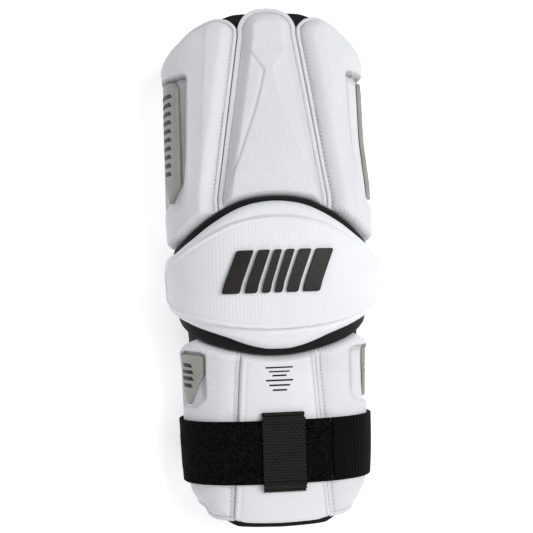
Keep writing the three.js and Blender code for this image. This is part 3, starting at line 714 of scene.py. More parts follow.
def add_piece(name, node, mesh, finish):
    """A piece with one of the finishes. It rides on the pad's one body and replaces its CAD node, if any."""
    piece = link(name, mesh, pad_material(finish))
    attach(piece, "root")
    if node:
        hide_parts(node)
    return piece


def even_places(line, pitch):
    """Even places along an open line."""
    far = np.append(0, np.cumsum(np.hypot(*np.diff(line, axis=0).T)))
    count = int(far[-1] / pitch)
    at = (np.arange(count) + 0.5) * far[-1] / count
    return np.stack([np.interp(at, far, line[:, 0]), np.interp(at, far, line[:, 1])], 1)


def line_ways(line):
    """Unit steps along a line, one for each of its points."""
    steps = np.gradient(line, axis=0)
    return steps / np.maximum(np.hypot(steps[:, 0], steps[:, 1]), 1e-9)[:, None]


def ring_faces(rings, count, side=1, start=0):
    """Faces that join rings of count points in order and close both ends. Side -1 turns them over."""
    faces = []
    last = start + (rings - 1) * count
    for low in range(start, last, count):
        high = low + count
        for k in range(count):
            ahead = (k + 1) % count
            faces.append((low + k, low + ahead, high + ahead, high + k)[::side])
    faces.append(tuple(range(start, start + count))[::-side])
    faces.append(tuple(range(last, last + count))[::side])
    return faces


# Threads: each ring's place along a stitch and its share of the full width
STITCH_RINGS = ((-0.5, 0.25), (-0.4, 0.8), (-0.15, 1.0), (0.15, 1.0), (0.4, 0.8), (0.5, 0.25))
STITCH_SIDES = 6
STITCH_SHARE = 0.68
THREAD_WIDTH = 0.56
THREAD_HEIGHT = 0.6 * THREAD_WIDTH
THREAD_RISE = 0.03
THREAD_BESIDE = 0.45


def stitch_points(starts, ends, normals):
    """Points and faces of a row of short threads from starts to ends."""
    middles = (starts + ends) / 2
    ways = ends - starts
    lengths = np.linalg.norm(ways, axis=1, keepdims=True)
    ways = ways / np.maximum(lengths, 1e-9)
    sideways = np.cross(normals, ways)
    rings = []
    for place, size in STITCH_RINGS:
        for k in range(STITCH_SIDES):
            turn = 2 * math.pi * k / STITCH_SIDES
            across = sideways * math.cos(turn) * THREAD_WIDTH / 2
            across = across + normals * math.sin(turn) * THREAD_HEIGHT / 2
            rings.append(middles + ways * lengths * place + across * size)
    points = np.stack(rings, 1)
    stitch = ring_faces(len(STITCH_RINGS), STITCH_SIDES)
    faces = [tuple(n * len(rings) + v for v in face) for n in range(len(points)) for face in stitch]
    return points.reshape(-1, 3), faces


def thread_row(places, side, lift, length):
    """Points and faces of short threads, one behind another, centred on (girth, along) places."""
    ways = line_ways(places)
    ends = [places + ways * length * half for half in (-0.5, 0.5)]
    start, end = [on_sleeve(side * e[:, 0], e[:, 1], lift(e[:, 0], e[:, 1]) + THREAD_RISE) for e in ends]
    _, normals = surface_frame(side * places[:, 0], places[:, 1])
    return stitch_points(start, end, normals)


def joined_threads(name, rows):
    """One piece of several rows of threads."""
    points, faces = [], []
    count = 0
    for row_points, row_faces in rows:
        points.append(row_points)
        faces += [tuple(v + count for v in face) for face in row_faces]
        count += len(row_points)
    return add_piece(name, None, mesh_from(np.concatenate(points), faces, smooth_angle=80), "thread")


# Heights above the sleeve
def rolled(height, rim, edge, run):
    """A height that rolls down to a thin edge at a plain rim."""
    return CLEARANCE + edge + (height - edge) * round_up(rim / run)


GROOVE_RUN = 0.8


def seamed(seam, rim, full, inset, run, roundness, lip_height, depth):
    """A panel's height: a flat lip, a stitched groove, a shoulder of some roundness, and a rolled rim."""
    groove = lip_height - depth
    lip = lip_height - depth * (1 - round_up(seam / depth))
    into = mix(lip, groove, ease((seam - inset + GROOVE_RUN) / GROOVE_RUN))
    past = (seam - inset) / run
    rise = mix(ease(past) * 0.4 + clamp01(past) * 0.6, round_up(past), roundness)
    height = np.where(seam < inset, into, mix(groove, full, rise))
    return rolled(height, rim, edge=1.5, run=4)


# Worn foam: heights of its broad and small swells, and where they fade in beside a seam
BROAD_SWELL = 0.16
SMALL_SWELL = 0.07
SWELL_FROM = 2
SWELL_RUN = 10


def unevenness(girth, along):
    """The slight dents and swells of foam that has been worn."""
    broad = np.sin(girth / 9.3 + 1.1 + along / 21) * np.sin(along / 12.7 - girth / 33 + 0.4)
    small = np.sin(girth / 4.1 - along / 9.7) * np.sin(along / 5.3 + girth / 13 + 2.0)
    return BROAD_SWELL * broad + SMALL_SWELL * small


def panel_lift(height, girth, along, seam, rim):
    """A panel's height with its unevenness, which fades out towards its seams."""
    return height(girth, along, seam, rim) + unevenness(girth, along) * ease((seam - SWELL_FROM) / SWELL_RUN)


def lift_over(edges, height):
    """The height of a panel where only the place is known."""

    def lift(girth, along):
        seam, rim, _ = edges.distances(girth, along)
        return panel_lift(height, girth, along, seam, rim)

    return lift


def no_recess_shade(girth, along):
    """No painted shade."""
    return 0 * girth


def shifted(pattern, shift):
    """The same pattern of places, shift further round."""
    return lambda girth, along: pattern(girth - shift, along)


def recess_shift(side):
    """How much further round a side's recesses lie."""
    return RIGHT_SHIFT if side > 0 else 0


def panel_piece(name, node, side, edges, across, up, height, finish, painted_shade=no_recess_shade):
    """A moulded panel over its four edges, in place of its CAD node."""
    girth, along = edges.places(across, up)
    if side < 0:
        girth, along = girth[:, ::-1], along[:, ::-1]
    seam, rim, round_it = edges.distances(girth, along)
    outer = on_sleeve(side * girth, along, panel_lift(height, girth, along, seam, rim))
    inner = on_sleeve(side * girth, along, np.full(girth.shape, CLEARANCE))
    uvs = {
        "Pattern": grid_uv(side * girth, along),
        "Seam": grid_uv(round_it, seam),
        # The third UV map carries the painted shade of a recess's corner
        "Recess shade": grid_uv(painted_shade(girth, along) / MM, 0.0),
    }
    piece = shell(name, node, outer, inner, finish, uvs)


def seam_threads(edges, side, height, inset):
    """Points and faces of the stitches along each of a panel's seams, just outside its groove."""
    pitch = sizes("stitch_pitch")
    away = inset - THREAD_BESIDE
    lift = lift_over(edges, height)
    rows = []
    for line in edges.seams:
        ways = line_ways(line)
        inside = line + np.stack([-ways[:, 1], ways[:, 0]], 1) * away
        seam, rim, _ = edges.distances(inside[:, 0], inside[:, 1])
        places = even_places(inside[(seam > 0.93 * away) & (rim > 2)], pitch)
        rows.append(thread_row(places, side, lift, STITCH_SHARE * pitch))
    return rows


# Upper panels
def centre_half(along):
    """Half the width of the upper centre lobe."""
    share = clamp01((along - ELBOW_TOP) / (UPPER_END - 20 - ELBOW_TOP))
    return mix(CENTRE_FOOT_HALF, CENTRE_TOP_HALF, share)


CENTRE_LOBE = Edges(
    lambda a: PANEL_GAP - centre_half(a),
    lambda a: centre_half(a) - PANEL_GAP,
    upper_foot,
    centre_lobe_top,
    seams=["high top low"],
    rims=["foot"],
)
SIDE_LOBE = Edges(
    lambda a: centre_half(a) + PANEL_GAP,
    lambda a: girth_at_angle(a, WING_WRAP),
    upper_foot,
    side_lobe_top,
    seams=["high top low"],
    rims=["foot"],
)
CREASE = table(
    "along half",
    [(0.05, 0.97), (0.115, 0.91), (0.305, 0.69), (0.66, 0.175), (0.7585, 0.8), (0.82, 0.9), (1.0, 0.95)],
)
CREASE_STEP = 1.1
CREASE_VALLEY = 0.45
CENTRE_BEVEL_RUN = 26


def crease_half(along):
    """Half the width of the lobe's raised middle, which narrows to a waist."""
    share = np.interp(along, mix(ELBOW_TOP, UPPER_END, CREASE["along"]), CREASE["half"])
    return share * (centre_half(along) - 8)


def centre_lobe_height(girth, along, seam, rim):
    """An hourglass middle stands a step above two sides, which bevel down to the seam."""
    past = np.abs(girth) - crease_half(along)
    fade = ease((along - ELBOW_TOP - 8) / 12) * ease((UPPER_END - 30 - along) / 6)
    step = CREASE_STEP * fade * ease(0.5 - past / 1.5)
    fall = CENTRE_BEVEL * clamp01(past / CENTRE_BEVEL_RUN) ** 1.2
    valley = CREASE_VALLEY * fade * bump_at(past, 1.2, 1.3)
    full = CENTRE_THICKNESS - 0.4 + step - fall - valley
    inset, run = sizes("centre_seam_inset"), 1.1 * sizes("shoulder_run")
    return seamed(seam, rim, full, inset, run, 0.3, sizes("lip_height"), sizes("seam_depth"))


def up_the_arm(along):
    """How far a place is from the elbow towards the upper end, from 0 to 1."""
    return clamp01((along - ELBOW_TOP) / (UPPER_END - ELBOW_TOP))


def ridge_girth(along):
    """Where the side lobe's front turns into its wing."""
    return mix(RIDGE_FOOT, RIDGE_TOP, up_the_arm(along))


def recess_girth(along):
    """The near wall of the side lobe's recess."""
    return mix(RECESS_GIRTH_FOOT, RECESS_GIRTH_TOP, up_the_arm(along))


def inside_upper_recess(girth, along):
    """Distance inside the recess's near and upper walls, with a round corner between them."""
    near = girth - recess_girth(along)
    above = RECESS_TOP - along
    in_corner = (near < RECESS_CORNER) & (above < RECESS_CORNER)
    to_centre = np.hypot(np.maximum(RECESS_CORNER - near, 0), np.maximum(RECESS_CORNER - above, 0))
    return np.where(in_corner, RECESS_CORNER - to_centre, np.minimum(near, above))


def upper_recess_shade(girth, along):
    """Painted shade in the corner of the recess: a dark line at the foot of its walls and a softer band
    further in, from 0 to 1.
    """
    fade = ease((along - RECESS_FOOT - 12) / 35) * ease((RECESS_FAR - girth) / 3)
    inside = inside_upper_recess(girth, along)
    return (bump_at(inside, 0.9, 1.0) + 0.6 * bump_at(inside, 4.5, 2.2)) * fade


def upper_recess(girth, along):
    """How deep a place lies in the recess, from 0 to 1."""
    inside = inside_upper_recess(girth, along)
    wall = ease(inside / mix(0.9, 9, ease((RECESS_FOOT + 48 - along) / 45)))
    wall = wall * (1 + 0.5 * bump_at(inside, 1.5, 0.8) * ease((along - RECESS_FOOT - 20) / 40))
    far = ease((RECESS_FAR - girth) / 3)
    below = ease((along - RECESS_FOOT) / RECESS_FADE)
    return wall * far * below


UPPER_BULGE = 0.9
RECESS_EDGE_RISE = 0.35


def side_lobe_height(shift):
    """A bright front plane turns at a soft ridge into the wing, whose recess lies shift further out."""

    def height(girth, along, seam, rim):
        ridge = ridge_girth(along)
        low = SIDE_LOBE.low(along)
        front = mix(SIDE_THICKNESS, RIDGE_THICKNESS, ease((girth - low) / (ridge - low)))
        wing = mix(RIDGE_THICKNESS, WING_THICKNESS, clamp01((girth - ridge) / (RECESS_FAR - ridge)) ** 0.55)
        full = np.where(girth < ridge, front, wing)
        bulge = UPPER_BULGE * ease((along - RECESS_TOP - 1) / 8) * ease((girth - ridge) / 12)
        beside = bump_at(girth - shift, recess_girth(along) - 1.6, 1.5)
        edge = RECESS_EDGE_RISE * beside * ease((RECESS_TOP - along) / 4)
        inset, run = sizes("seam_inset"), sizes("shoulder_run")
        body = seamed(seam, rim, full + bulge, inset, run, 0.85, sizes("lip_height"), sizes("seam_depth"))
        return body + edge * ease((seam - 12) / 4) - RECESS_DEPTH * upper_recess(girth - shift, along)

    return height


UPPER_INSERT = {
    "girth": 63,
    "width": 37,
    "top": 139,
    "length": 89,
    "foot_point": 0.32,
    "near_tip": 13,
    "far_tip": 42,
    "corner": 7.5,
    "thickness": 3.1,
    "print_rise": 3.0,
}
FOREARM_INSERT = {
    "girth": 51.6,
    "width": 33,
    "top": -58.6,
    "length": 38.5,
    "foot_point": 0.42,
    "near_tip": 22,
    "far_tip": 20,
    "corner": 3.5,
    "thickness": 2.3,
    "print_rise": 2.2,
}
INSERT_SEAT = 0.6
FAR_CORNER = 3


def insert_outline(size, highest=None):
    """A plate's outline: rounded corners at the top, straight sides and a pointed foot.

    highest(girth) keeps its upper edge inside a recess.
    """
    low, high = size["girth"], size["girth"] + size["width"]
    top, foot = size["top"], size["top"] - size["length"]
    tip = low + size["width"] * size["foot_point"]
    corner = size["corner"]
    turns = np.linspace(math.pi, math.pi / 2, 10)
    arc = [(low + corner + corner * math.cos(t), top - corner + corner * math.sin(t)) for t in turns]
    middle, level = high - FAR_CORNER, top - FAR_CORNER
    far_turns = np.linspace(math.pi / 2, 0, 6)
    far = [(middle + FAR_CORNER * math.cos(t), level + FAR_CORNER * math.sin(t)) for t in far_turns]
    between = [(g, top) for g in np.linspace(low + corner, middle, 8)[1:-1]]
    sides = [(low, foot + size["near_tip"]), (high, foot + size["far_tip"])]
    line = np.array([(tip, foot), sides[0], *arc, *between, *far, sides[1]])
    if highest:
        line[:, 1] = np.minimum(line[:, 1], highest(line[:, 0]))
    return line


def tucked(size, tuck):
    """A plate's sizes with its near edge further round by tuck, and its far edge where it was."""
    return {**size, "girth": size["girth"] + tuck, "width": size["width"] - tuck}


def tucked_bars(bars, size, tuck, shift):
    """Bars that keep their places across a plate which is narrower by tuck and stands shift further out."""
    share = 1 - tuck / size["width"]
    near = size["girth"] + tuck + shift
    return [(near + (bar[0] - size["girth"]) * share, bar[1], share * bar[2], *bar[3:]) for bar in bars]


# Rings of a plate and of a printed bar, as shares of the outline and of the thickness. They go out over the
# underside, round the rim and over the top to the middle
PLATE_RINGS = [
    *((share, 0.0) for share in np.linspace(0.06, 0.97, 8)),
    *((1.0, 0.0), (1.0, 0.45), (0.995, 0.75), (0.975, 0.97), (0.955, 1.0)),
    *((share, 1.0) for share in np.linspace(0.9, 0.06, 14)),
]
BAR_RINGS = [(0.9, 0), (1.0, 0), (1.0, 0.6), (0.93, 1.0), (0.5, 1.0), (0.1, 1.0)]
PLATE_STEP = 0.9
BAR_THICKNESS = 0.32
CRISP_ANGLE = 40


def ring_points(side, edge, rings, lift, seat, thickness):
    """Points of the rings inside a closed edge, and the places that they stand over."""
    middle = edge.mean(0)
    points, places = [], []
    for share, rise in rings:
        ring = middle + (edge - middle) * share
        height = lift(ring[:, 0], ring[:, 1]) + seat + thickness * rise
        points.append(on_sleeve(side * ring[:, 0], ring[:, 1], height))
        places.append(ring)
    return np.concatenate(points), np.concatenate(places)


def plate_piece(name, node, side, outline, lift, seat, thickness, finish):
    """A plate inside a closed outline, with a chamfered rim, in place of its CAD node."""
    edge = even_places(np.concatenate([outline, outline[:1]]), PLATE_STEP)
    points, places = ring_points(side, edge, PLATE_RINGS, lift, seat, thickness)
    mesh = mesh_from(points, ring_faces(len(PLATE_RINGS), len(edge), side), CRISP_ANGLE)
    corner_index = np.zeros(len(mesh.loops), int)
    mesh.loops.foreach_get("vertex_index", corner_index)
    add_uv(mesh, "Pattern", (places * [side, 1])[corner_index])
    add_piece(name, node, mesh, finish)


def bar_outline(girth, along, width, height, lean):
    """A small slanted bar's outline, in short steps."""
    ends = [(-1, -1), (1, -1), (1, 1), (-1, 1)]
    corners = np.array([(girth + x * width / 2 + y * lean / 2, along + y * height / 2) for x, y in ends])
    steps = np.linspace(0, 1, 7)[:-1, None]
    return np.concatenate([mix(corners[k], corners[(k + 1) % 4], steps) for k in range(4)])


def bars_piece(name, side, bars, lift, seat):
    """A row of thin bars printed on a plate, joined as one piece."""
    points, faces = [], []
    for bar in bars:
        edge = bar_outline(*bar)
        faces += ring_faces(len(BAR_RINGS), len(edge), side, sum(len(part) for part in points))
        points.append(ring_points(side, edge, BAR_RINGS, lift, seat, BAR_THICKNESS)[0])
    add_piece(name, None, mesh_from(np.concatenate(points), faces, CRISP_ANGLE), "print")


# Elbow
ALL_ROUND = ["foot high top low"]
CAP_REACH = ELBOW_REACH - CAP_REVEAL
BACKING = Edges(fixed(-ELBOW_REACH), fixed(ELBOW_REACH), backing_foot, backing_top, ALL_ROUND, ALL_ROUND)
CAP = Edges(fixed(-CAP_REACH), fixed(CAP_REACH), cap_foot, cap_top, ALL_ROUND, ALL_ROUND)
CAP_BASE = 2 * CLEARANCE + BACKING_THICKNESS
LENS = table(
    "girth top foot",
    [
        (0, 1.0, 1.0),
        (0.1, 0.99, 0.997),
        (0.22, 0.95, 0.983),
        (0.354, 0.863, 0.95),
        (0.52, 0.675, 0.885),
        (0.67, 0.48, 0.805),
        (0.81, 0.286, 0.71),
        (0.91, 0.17, 0.625),
        (0.97, 0.09, 0.57),
        (1.0, -0.02, 0.49),
    ],
)
lens_top_curve = table_curve(LENS, "girth", "top", LENS_REACH, LENS_TOP)
lens_foot_curve = table_curve(LENS, "girth", "foot", LENS_REACH, -LENS_FOOT)
LENS_EDGES = Edges(
    fixed(-LENS_REACH),
    fixed(LENS_REACH),
    lambda g: lens_foot_curve(np.abs(g)),
    lambda g: lens_top_curve(np.abs(g)),
    ALL_ROUND,
    ALL_ROUND,
)


def lens_depth(girth, along):
    """Distance inside the raised lens, negative outside it."""
    distance, _ = to_lines(girth, along, LENS_EDGES.rims)
    inside = (
        (np.abs(girth) < LENS_REACH)
        & (along < lens_top_curve(np.abs(girth)))
        & (along > lens_foot_curve(np.abs(girth)))
    )
    return np.where(inside, distance, -distance)


def backing_height(girth, along, seam, rim):
    """A sheet with a rolled rim."""
    return rolled(BACKING_THICKNESS, rim, edge=1.4, run=2.6)


# The lens: how high it still stands at the cap's sides, and its grooves and welt
LENS_SIDE_SHARE = 0.35
OUTER_GROOVE = 0.5
INNER_GROOVE = 0.3
LENS_WELT = 0.75


def cap_height(girth, along, seam, rim):
    """A rolled edge, a band round the lens, then the lens with a fine welt at its edge."""
    outward = ease((np.abs(girth) - 28) / 62)
    full = mix(CAP_THICKNESS, CAP_SIDE_THICKNESS, outward)
    body = mix(CAP_EDGE, full, 0.75 * round_up(rim / CAP_ROLL) + 0.25 * round_up(rim / CAP_CROWN))
    depth = lens_depth(girth, along)
    rise = CAP_RAISE * mix(1, LENS_SIDE_SHARE, outward)
    raised = rise * ease((depth + 0.8) / 3.0)
    groove = OUTER_GROOVE * bump_at(depth, -1.4, 0.9) + INNER_GROOVE * bump_at(depth, 3.9, 0.9)
    welt = LENS_WELT * bump_at(depth, 2.1, 0.85)
    return CAP_BASE + body + (raised + welt - groove) * ease(rim / 4)


# Forearm panels
def forearm_half(along):
    """Half the width of the forearm's centre panel."""
    share = clamp01((along - FOREARM_END) / (-ELBOW_FOOT - FOREARM_END))
    return mix(FOREARM_FOOT_HALF, FOREARM_TOP_HALF, share)


FOREARM_CENTRE = Edges(
    lambda a: FOREARM_GAP - forearm_half(a),
    lambda a: forearm_half(a) - FOREARM_GAP,
    forearm_foot,
    forearm_top,
    seams=["high", "low"],
    rims=["foot", "top"],
)
FOREARM_SIDE = Edges(
    lambda a: forearm_half(a) + FOREARM_GAP,
    lambda a: girth_at_angle(a, FOREARM_WRAP),
    forearm_foot,
    forearm_top,
    seams=["low foot high"],
    rims=["top"],
)


def forearm_centre_height(girth, along, seam, rim):
    """A smooth, nearly flat panel with a thin welt along both sides."""
    full = FOREARM_THICKNESS - 0.6 + FOREARM_CROWN * clamp01(1 - (girth / 24) ** 2)
    welt = FOREARM_WELT * bump_at(seam, 2.2, 0.9) - 0.35 * bump_at(seam, 4.4, 1.2)
    height = mix(5.3, full, round_up(seam / 2.6)) + welt
    return rolled(height, rim, edge=1.2, run=3.5)


def forearm_recess_top(girth):
    """Upper edge of the forearm recess, inside the panel's own edge."""
    return np.minimum(FOREARM_RECESS_TOP, forearm_top(girth) - 4.5 * slope_factor(forearm_top, girth))


def forearm_plate_top(girth):
    """The highest that the plate in the forearm recess may reach."""
    return forearm_recess_top(girth) - 2.2


def forearm_recess_shade(girth, along):
    """Painted shade in the corner of the forearm recess: a dark line at the foot of its walls and a softer
    band further in, from 0 to 1.
    """
    foot = FOREARM_RECESS_TOP - FOREARM_RECESS_LENGTH
    inside = np.minimum(girth - FOREARM_RECESS_GIRTH, forearm_recess_top(girth) - along)
    mask = bump_at(inside, 0.9, 1.0) + 0.6 * bump_at(inside, 4.0, 2.0)
    return mask * ease((along - foot - 6) / 8) * ease((FOREARM_RECESS_FAR - girth) / 3)


def forearm_recess(girth, along):
    """How deep a place lies in the forearm recess, from 0 to 1."""
    foot = FOREARM_RECESS_TOP - FOREARM_RECESS_LENGTH
    slant = FOREARM_SLANT * clamp01(1 - (girth - FOREARM_RECESS_GIRTH) / 10)
    near = ease((girth - FOREARM_RECESS_GIRTH) / 1.5)
    far = ease((FOREARM_RECESS_FAR - girth) / 2.5)
    above = ease((forearm_recess_top(girth) - along) / 1.5)
    below = ease((along - foot - slant) / 2.2)
    return near * far * above * below


def forearm_side_height(shift):
    """A side panel that thins outwards, whose recess above the strap lies shift further out."""

    def height(girth, along, seam, rim):
        inset, run = sizes("seam_inset"), 1.3 * sizes("shoulder_run")
        start = FOREARM_SIDE.low(along) + inset
        outward = ease((girth - start) / (FOREARM_RECESS_FAR - start))
        full = mix(FOREARM_THICKNESS, FOREARM_SIDE_THICKNESS, outward)
        pleat = FOREARM_PLEAT * bump_at(along, FOREARM_END + 20, 3.5) * ease((girth - start - 6) / 8)
        lip = mix(FOREARM_LIP, sizes("lip_height"), ease((girth - start - 2) / 14))
        body = seamed(seam, rim, full - pleat, inset, run, 0.7, lip, FOREARM_SEAM_DEPTH)
        deep = FOREARM_RECESS_DEPTH * forearm_recess(girth - shift, along)
        return body - deep * clamp01((body - CLEARANCE) / full)

    return height


# Strap
STRAP_BACK = float(girth_at_angle(STRAP_CENTRE, FOREARM_WRAP))
STRAP_HALF_GIRTH = float(half_girth(STRAP_CENTRE))


def strap_lift(girth):
    """The strap's underside: over the panels, then down to the sleeve behind them."""
    size = np.abs(girth)
    from_crown = np.where(size > STRAP_HALF_GIRTH, 2 * STRAP_HALF_GIRTH - size, size)
    outward = ease((from_crown - FOREARM_FOOT_HALF) / (FOREARM_RECESS_FAR - FOREARM_FOOT_HALF))
    on_panel = mix(FOREARM_THICKNESS, FOREARM_SIDE_THICKNESS, outward)
    behind = round_up((STRAP_BACK + 0.7 * STRAP_FALL - from_crown) / (1.8 * STRAP_FALL))
    return CLEARANCE + (on_panel + CLEARANCE) * behind


def strap_piece(name, node, low, high, texture, step, finish):
    """A stretch of the strap with its own surface texture and soft edges."""
    length = high - low
    across = np.linspace(0, 1, int(length / step))
    up = spaced(STRAP_WIDTH, fine=0.35, coarse=0.8, reach=2)
    girth = mix(low, high, across)[None, :] + 0 * up[:, None]
    along = mix(-0.5, 0.5, up)[:, None] * STRAP_WIDTH + 0 * girth
    rim = np.minimum(STRAP_WIDTH / 2 - np.abs(along), np.minimum(girth - low, high - girth))
    soft = STRAP_ROUNDING * (1 - round_up(rim / 1.1))
    top = strap_lift(girth) + STRAP_THICKNESS - soft + texture(girth, along)
    outer = on_sleeve(girth, STRAP_CENTRE + along, top)
    inner = on_sleeve(girth, STRAP_CENTRE + along, strap_lift(girth) + soft)
    piece = shell(name, node, outer, inner, finish, {"Pattern": grid_uv(girth, along)})


def keeper_lift(along):
    """The keeper's underside: over the strap, and down to the panel at both ends."""
    past = np.abs(along) - STRAP_WIDTH / 2 - 1
    over = strap_lift(0.0) + STRAP_THICKNESS + CLEARANCE
    down = 2 * CLEARANCE + FOREARM_THICKNESS
    return mix(over, down, ease(past / KEEPER_TURN))


# Node helpers
class Net:
    """Adds and joins the nodes of one material or group."""

    def __init__(self, tree):
        self.tree = tree

    def node(self, kind, **settings):
        made = self.tree.nodes.new(kind)
        for name, value in settings.items():
            setattr(made, name, value)
        return made

    def feed(self, socket, value):
        if isinstance(value, bpy.types.NodeSocket):
            self.tree.links.new(value, socket)
        elif value is not None:
            socket.default_value = value

    def math(self, operation, *values, clamp=False):
        made = self.node("ShaderNodeMath", operation=operation, use_clamp=clamp)
        for socket, value in zip(made.inputs, values):
            self.feed(socket, value)
        return made.outputs[0]

    def colour_mix(self, factor, first, second, blend="MIX"):
        made = self.node("ShaderNodeMix", data_type="RGBA", blend_type=blend)
        self.feed(made.inputs[0], factor)
        self.feed(made.inputs[6], first)
        self.feed(made.inputs[7], second)
        return made.outputs[2]

    def float_mix(self, factor, first, second):
        made = self.node("ShaderNodeMix", data_type="FLOAT")
        for socket, value in zip((made.inputs[0], made.inputs[2], made.inputs[3]), (factor, first, second)):
            self.feed(socket, value)
        return made.outputs[0]

    def range(self, value, low, high, to_low=0.0, to_high=1.0):
        made = self.node("ShaderNodeMapRange", interpolation_type="SMOOTHSTEP")
        for socket, entry in zip(made.inputs, (value, low, high, to_low, to_high)):
            self.feed(socket, entry)
        return made.outputs[0]

    def parts(self, vector):
        made = self.node("ShaderNodeSeparateXYZ")
        self.feed(made.inputs[0], vector)
        return made.outputs

    def noise(self, vector, scale, detail=4.0, roughness=0.6):
        made = self.node("ShaderNodeTexNoise")
        self.feed(made.inputs["Vector"], vector)
        self.feed(made.inputs["Scale"], scale)
        self.feed(made.inputs["Detail"], detail)
        self.feed(made.inputs["Roughness"], roughness)
        return made.outputs[0]

    def uv(self, name):
        return self.node("ShaderNodeUVMap", uv_map=name).outputs[0]

    def place(self):
        return self.node("ShaderNodeTexCoord").outputs["Object"]

    def times(self, first, second):
        return self.math("MULTIPLY", first, second)

    def plus(self, first, second):
        return self.math("ADD", first, second)

    def minus(self, first, second):
        return self.math("SUBTRACT", first, second)

    def over(self, first, second):
        return self.math("DIVIDE", first, second)

    def effect(self, tree, **values):
        made = self.node("ShaderNodeGroup", node_tree=tree)
        for name, value in values.items():
            self.feed(made.inputs[name.replace("_", " ")], value)
        return made.outputs

    def bump(self, height, distance):
        made = self.node("ShaderNodeBump")
        self.feed(made.inputs["Height"], height)
        self.feed(made.inputs["Distance"], distance)
        self.feed(made.inputs["Strength"], 1.0)
        return made.outputs[0]


def effect_group(name, inputs, outputs, build):
    """A shader node group, made once. inputs maps each socket to its kind and value."""
    tree = bpy.data.node_groups.get(name)
    if tree:
        return tree
    tree = bpy.data.node_groups.new(name, "ShaderNodeTree")
    for label, (kind, value) in inputs.items():
        socket = tree.interface.new_socket(label, in_out="INPUT", socket_type="NodeSocket" + kind)
        if value is not None:
            socket.default_value = value
    for label in outputs:
        tree.interface.new_socket(label, in_out="OUTPUT", socket_type="NodeSocketFloat")
    net = Net(tree)
    source = net.node("NodeGroupInput").outputs
    sink = net.node("NodeGroupOutput").inputs
    for label, value in build(net, source).items():
        net.feed(sink[label], value)
    return tree


def diamond_knit():
    """Small raised diamonds: Height, and Dip between them."""

    def build(net, source):
        u, v, _ = net.parts(source["Vector"])
        across = net.over(u, source["Pitch"])
        up = net.over(v, net.times(source["Pitch"], source["Tallness"]))
        first = net.math("SINE", net.times(net.plus(across, up), math.pi))
        second = net.math("SINE", net.times(net.minus(across, up), math.pi))
        both = net.math("ABSOLUTE", net.times(first, second))
        height = net.math("POWER", both, 0.6)
        return {"Height": height, "Dip": net.math("SUBTRACT", 1.0, height, clamp=True)}

    inputs = {"Vector": ("Vector", None), "Pitch": ("Float", 0.0016), "Tallness": ("Float", 1.5)}
    return effect_group("Diamond knit", inputs, ("Height", "Dip"), build)


def rib_knit():
    """Ribs along the pad with fine ticks on them: Height, and Dip between them."""

    def build(net, source):
        u, v, _ = net.parts(source["Vector"])
        turn = net.times(net.over(u, source["Pitch"]), 2 * math.pi)
        rib = net.plus(0.5, net.times(net.math("COSINE", turn), 0.5))
        shift = net.times(net.math("FLOOR", net.over(u, source["Pitch"])), math.pi)
        ticks = net.times(net.over(v, source["Tick"]), 2 * math.pi)
        tick = net.plus(0.5, net.times(net.math("COSINE", net.plus(ticks, shift)), 0.5))
        part = net.times(tick, source["Ticking"])
        height = net.times(rib, net.math("SUBTRACT", 1.0, part))
        return {"Height": height, "Dip": net.math("SUBTRACT", 1.0, height, clamp=True)}

    inputs = {
        "Vector": ("Vector", None),
        "Pitch": ("Float", 0.002),
        "Tick": ("Float", 0.002),
        "Ticking": ("Float", 0.3),
    }
    return effect_group("Rib knit", inputs, ("Height", "Dip"), build)


def plain_weave():
    """Yarns over and under each other: Height and Dip."""

    def build(net, source):
        u, v, _ = net.parts(source["Vector"])
        across = net.over(u, source["Pitch"])
        up = net.over(v, net.times(source["Pitch"], source["Tallness"]))
        one = net.math("SINE", net.times(across, math.pi))
        two = net.math("SINE", net.times(up, math.pi))
        over = net.times(one, two)
        yarn = net.math("ABSOLUTE", over)
        height = net.plus(net.times(over, 0.35), net.math("POWER", yarn, 0.5))
        return {"Height": height, "Dip": net.math("SUBTRACT", 1.0, net.math("POWER", yarn, 0.4), clamp=True)}

    inputs = {"Vector": ("Vector", None), "Pitch": ("Float", 0.001), "Tallness": ("Float", 1.0)}
    return effect_group("Plain weave", inputs, ("Height", "Dip"), build)


def cloth_mottle():
    """Uneven tone over centimetres and a fine fibre grain: Tone and Grain."""

    def build(net, source):
        broad = net.noise(source["Vector"], source["Scale"], 3.0)
        fine = net.noise(source["Vector"], net.times(source["Scale"], 40.0), 3.0, 0.7)
        return {"Tone": net.range(broad, 0.32, 0.68), "Grain": fine}

    inputs = {"Vector": ("Vector", None), "Scale": ("Float", 30.0)}
    return effect_group("Cloth mottle", inputs, ("Tone", "Grain"), build)


def seam_marks():
    """Along a seam: Holes of the needle, and painted shade in the groove beside it. The vector is (round,
    distance).
    """

    def build(net, source):
        round_it, distance, _ = net.parts(source["Vector"])
        off = net.math("ABSOLUTE", net.minus(distance, source["Inset"]))
        step = net.math("FRACT", net.over(round_it, source["Pitch"]))
        beside = net.times(net.math("PINGPONG", step, 0.5), source["Pitch"])
        reach = net.math("SQRT", net.plus(net.math("POWER", off, 2.0), net.math("POWER", beside, 2.0)))
        # Holes marks the needle holes; the other mask is painted shade along the seam's groove
        return {"Holes": net.range(reach, 0.0009, 0.0003), "Crease": net.range(off, 0.0016, 0.0)}

    inputs = {"Vector": ("Vector", None), "Inset": ("Float", 0.0044), "Pitch": ("Float", 0.003)}
    return effect_group("Seam marks", inputs, ("Holes", "Crease"), build)


def rim_wear():
    """Scuffs on a panel's outer rim: Mask. The vector is (round, distance)."""

    def build(net, source):
        _, distance, _ = net.parts(source["Vector"])
        rim = net.range(distance, 0.0022, 0.0)
        patches = net.range(net.noise(source["Place"], 90.0, 5.0, 0.7), 0.5, 0.68)
        return {"Mask": net.times(rim, patches)}

    inputs = {"Vector": ("Vector", None), "Place": ("Vector", None)}
    return effect_group("Rim wear", inputs, ("Mask",), build)


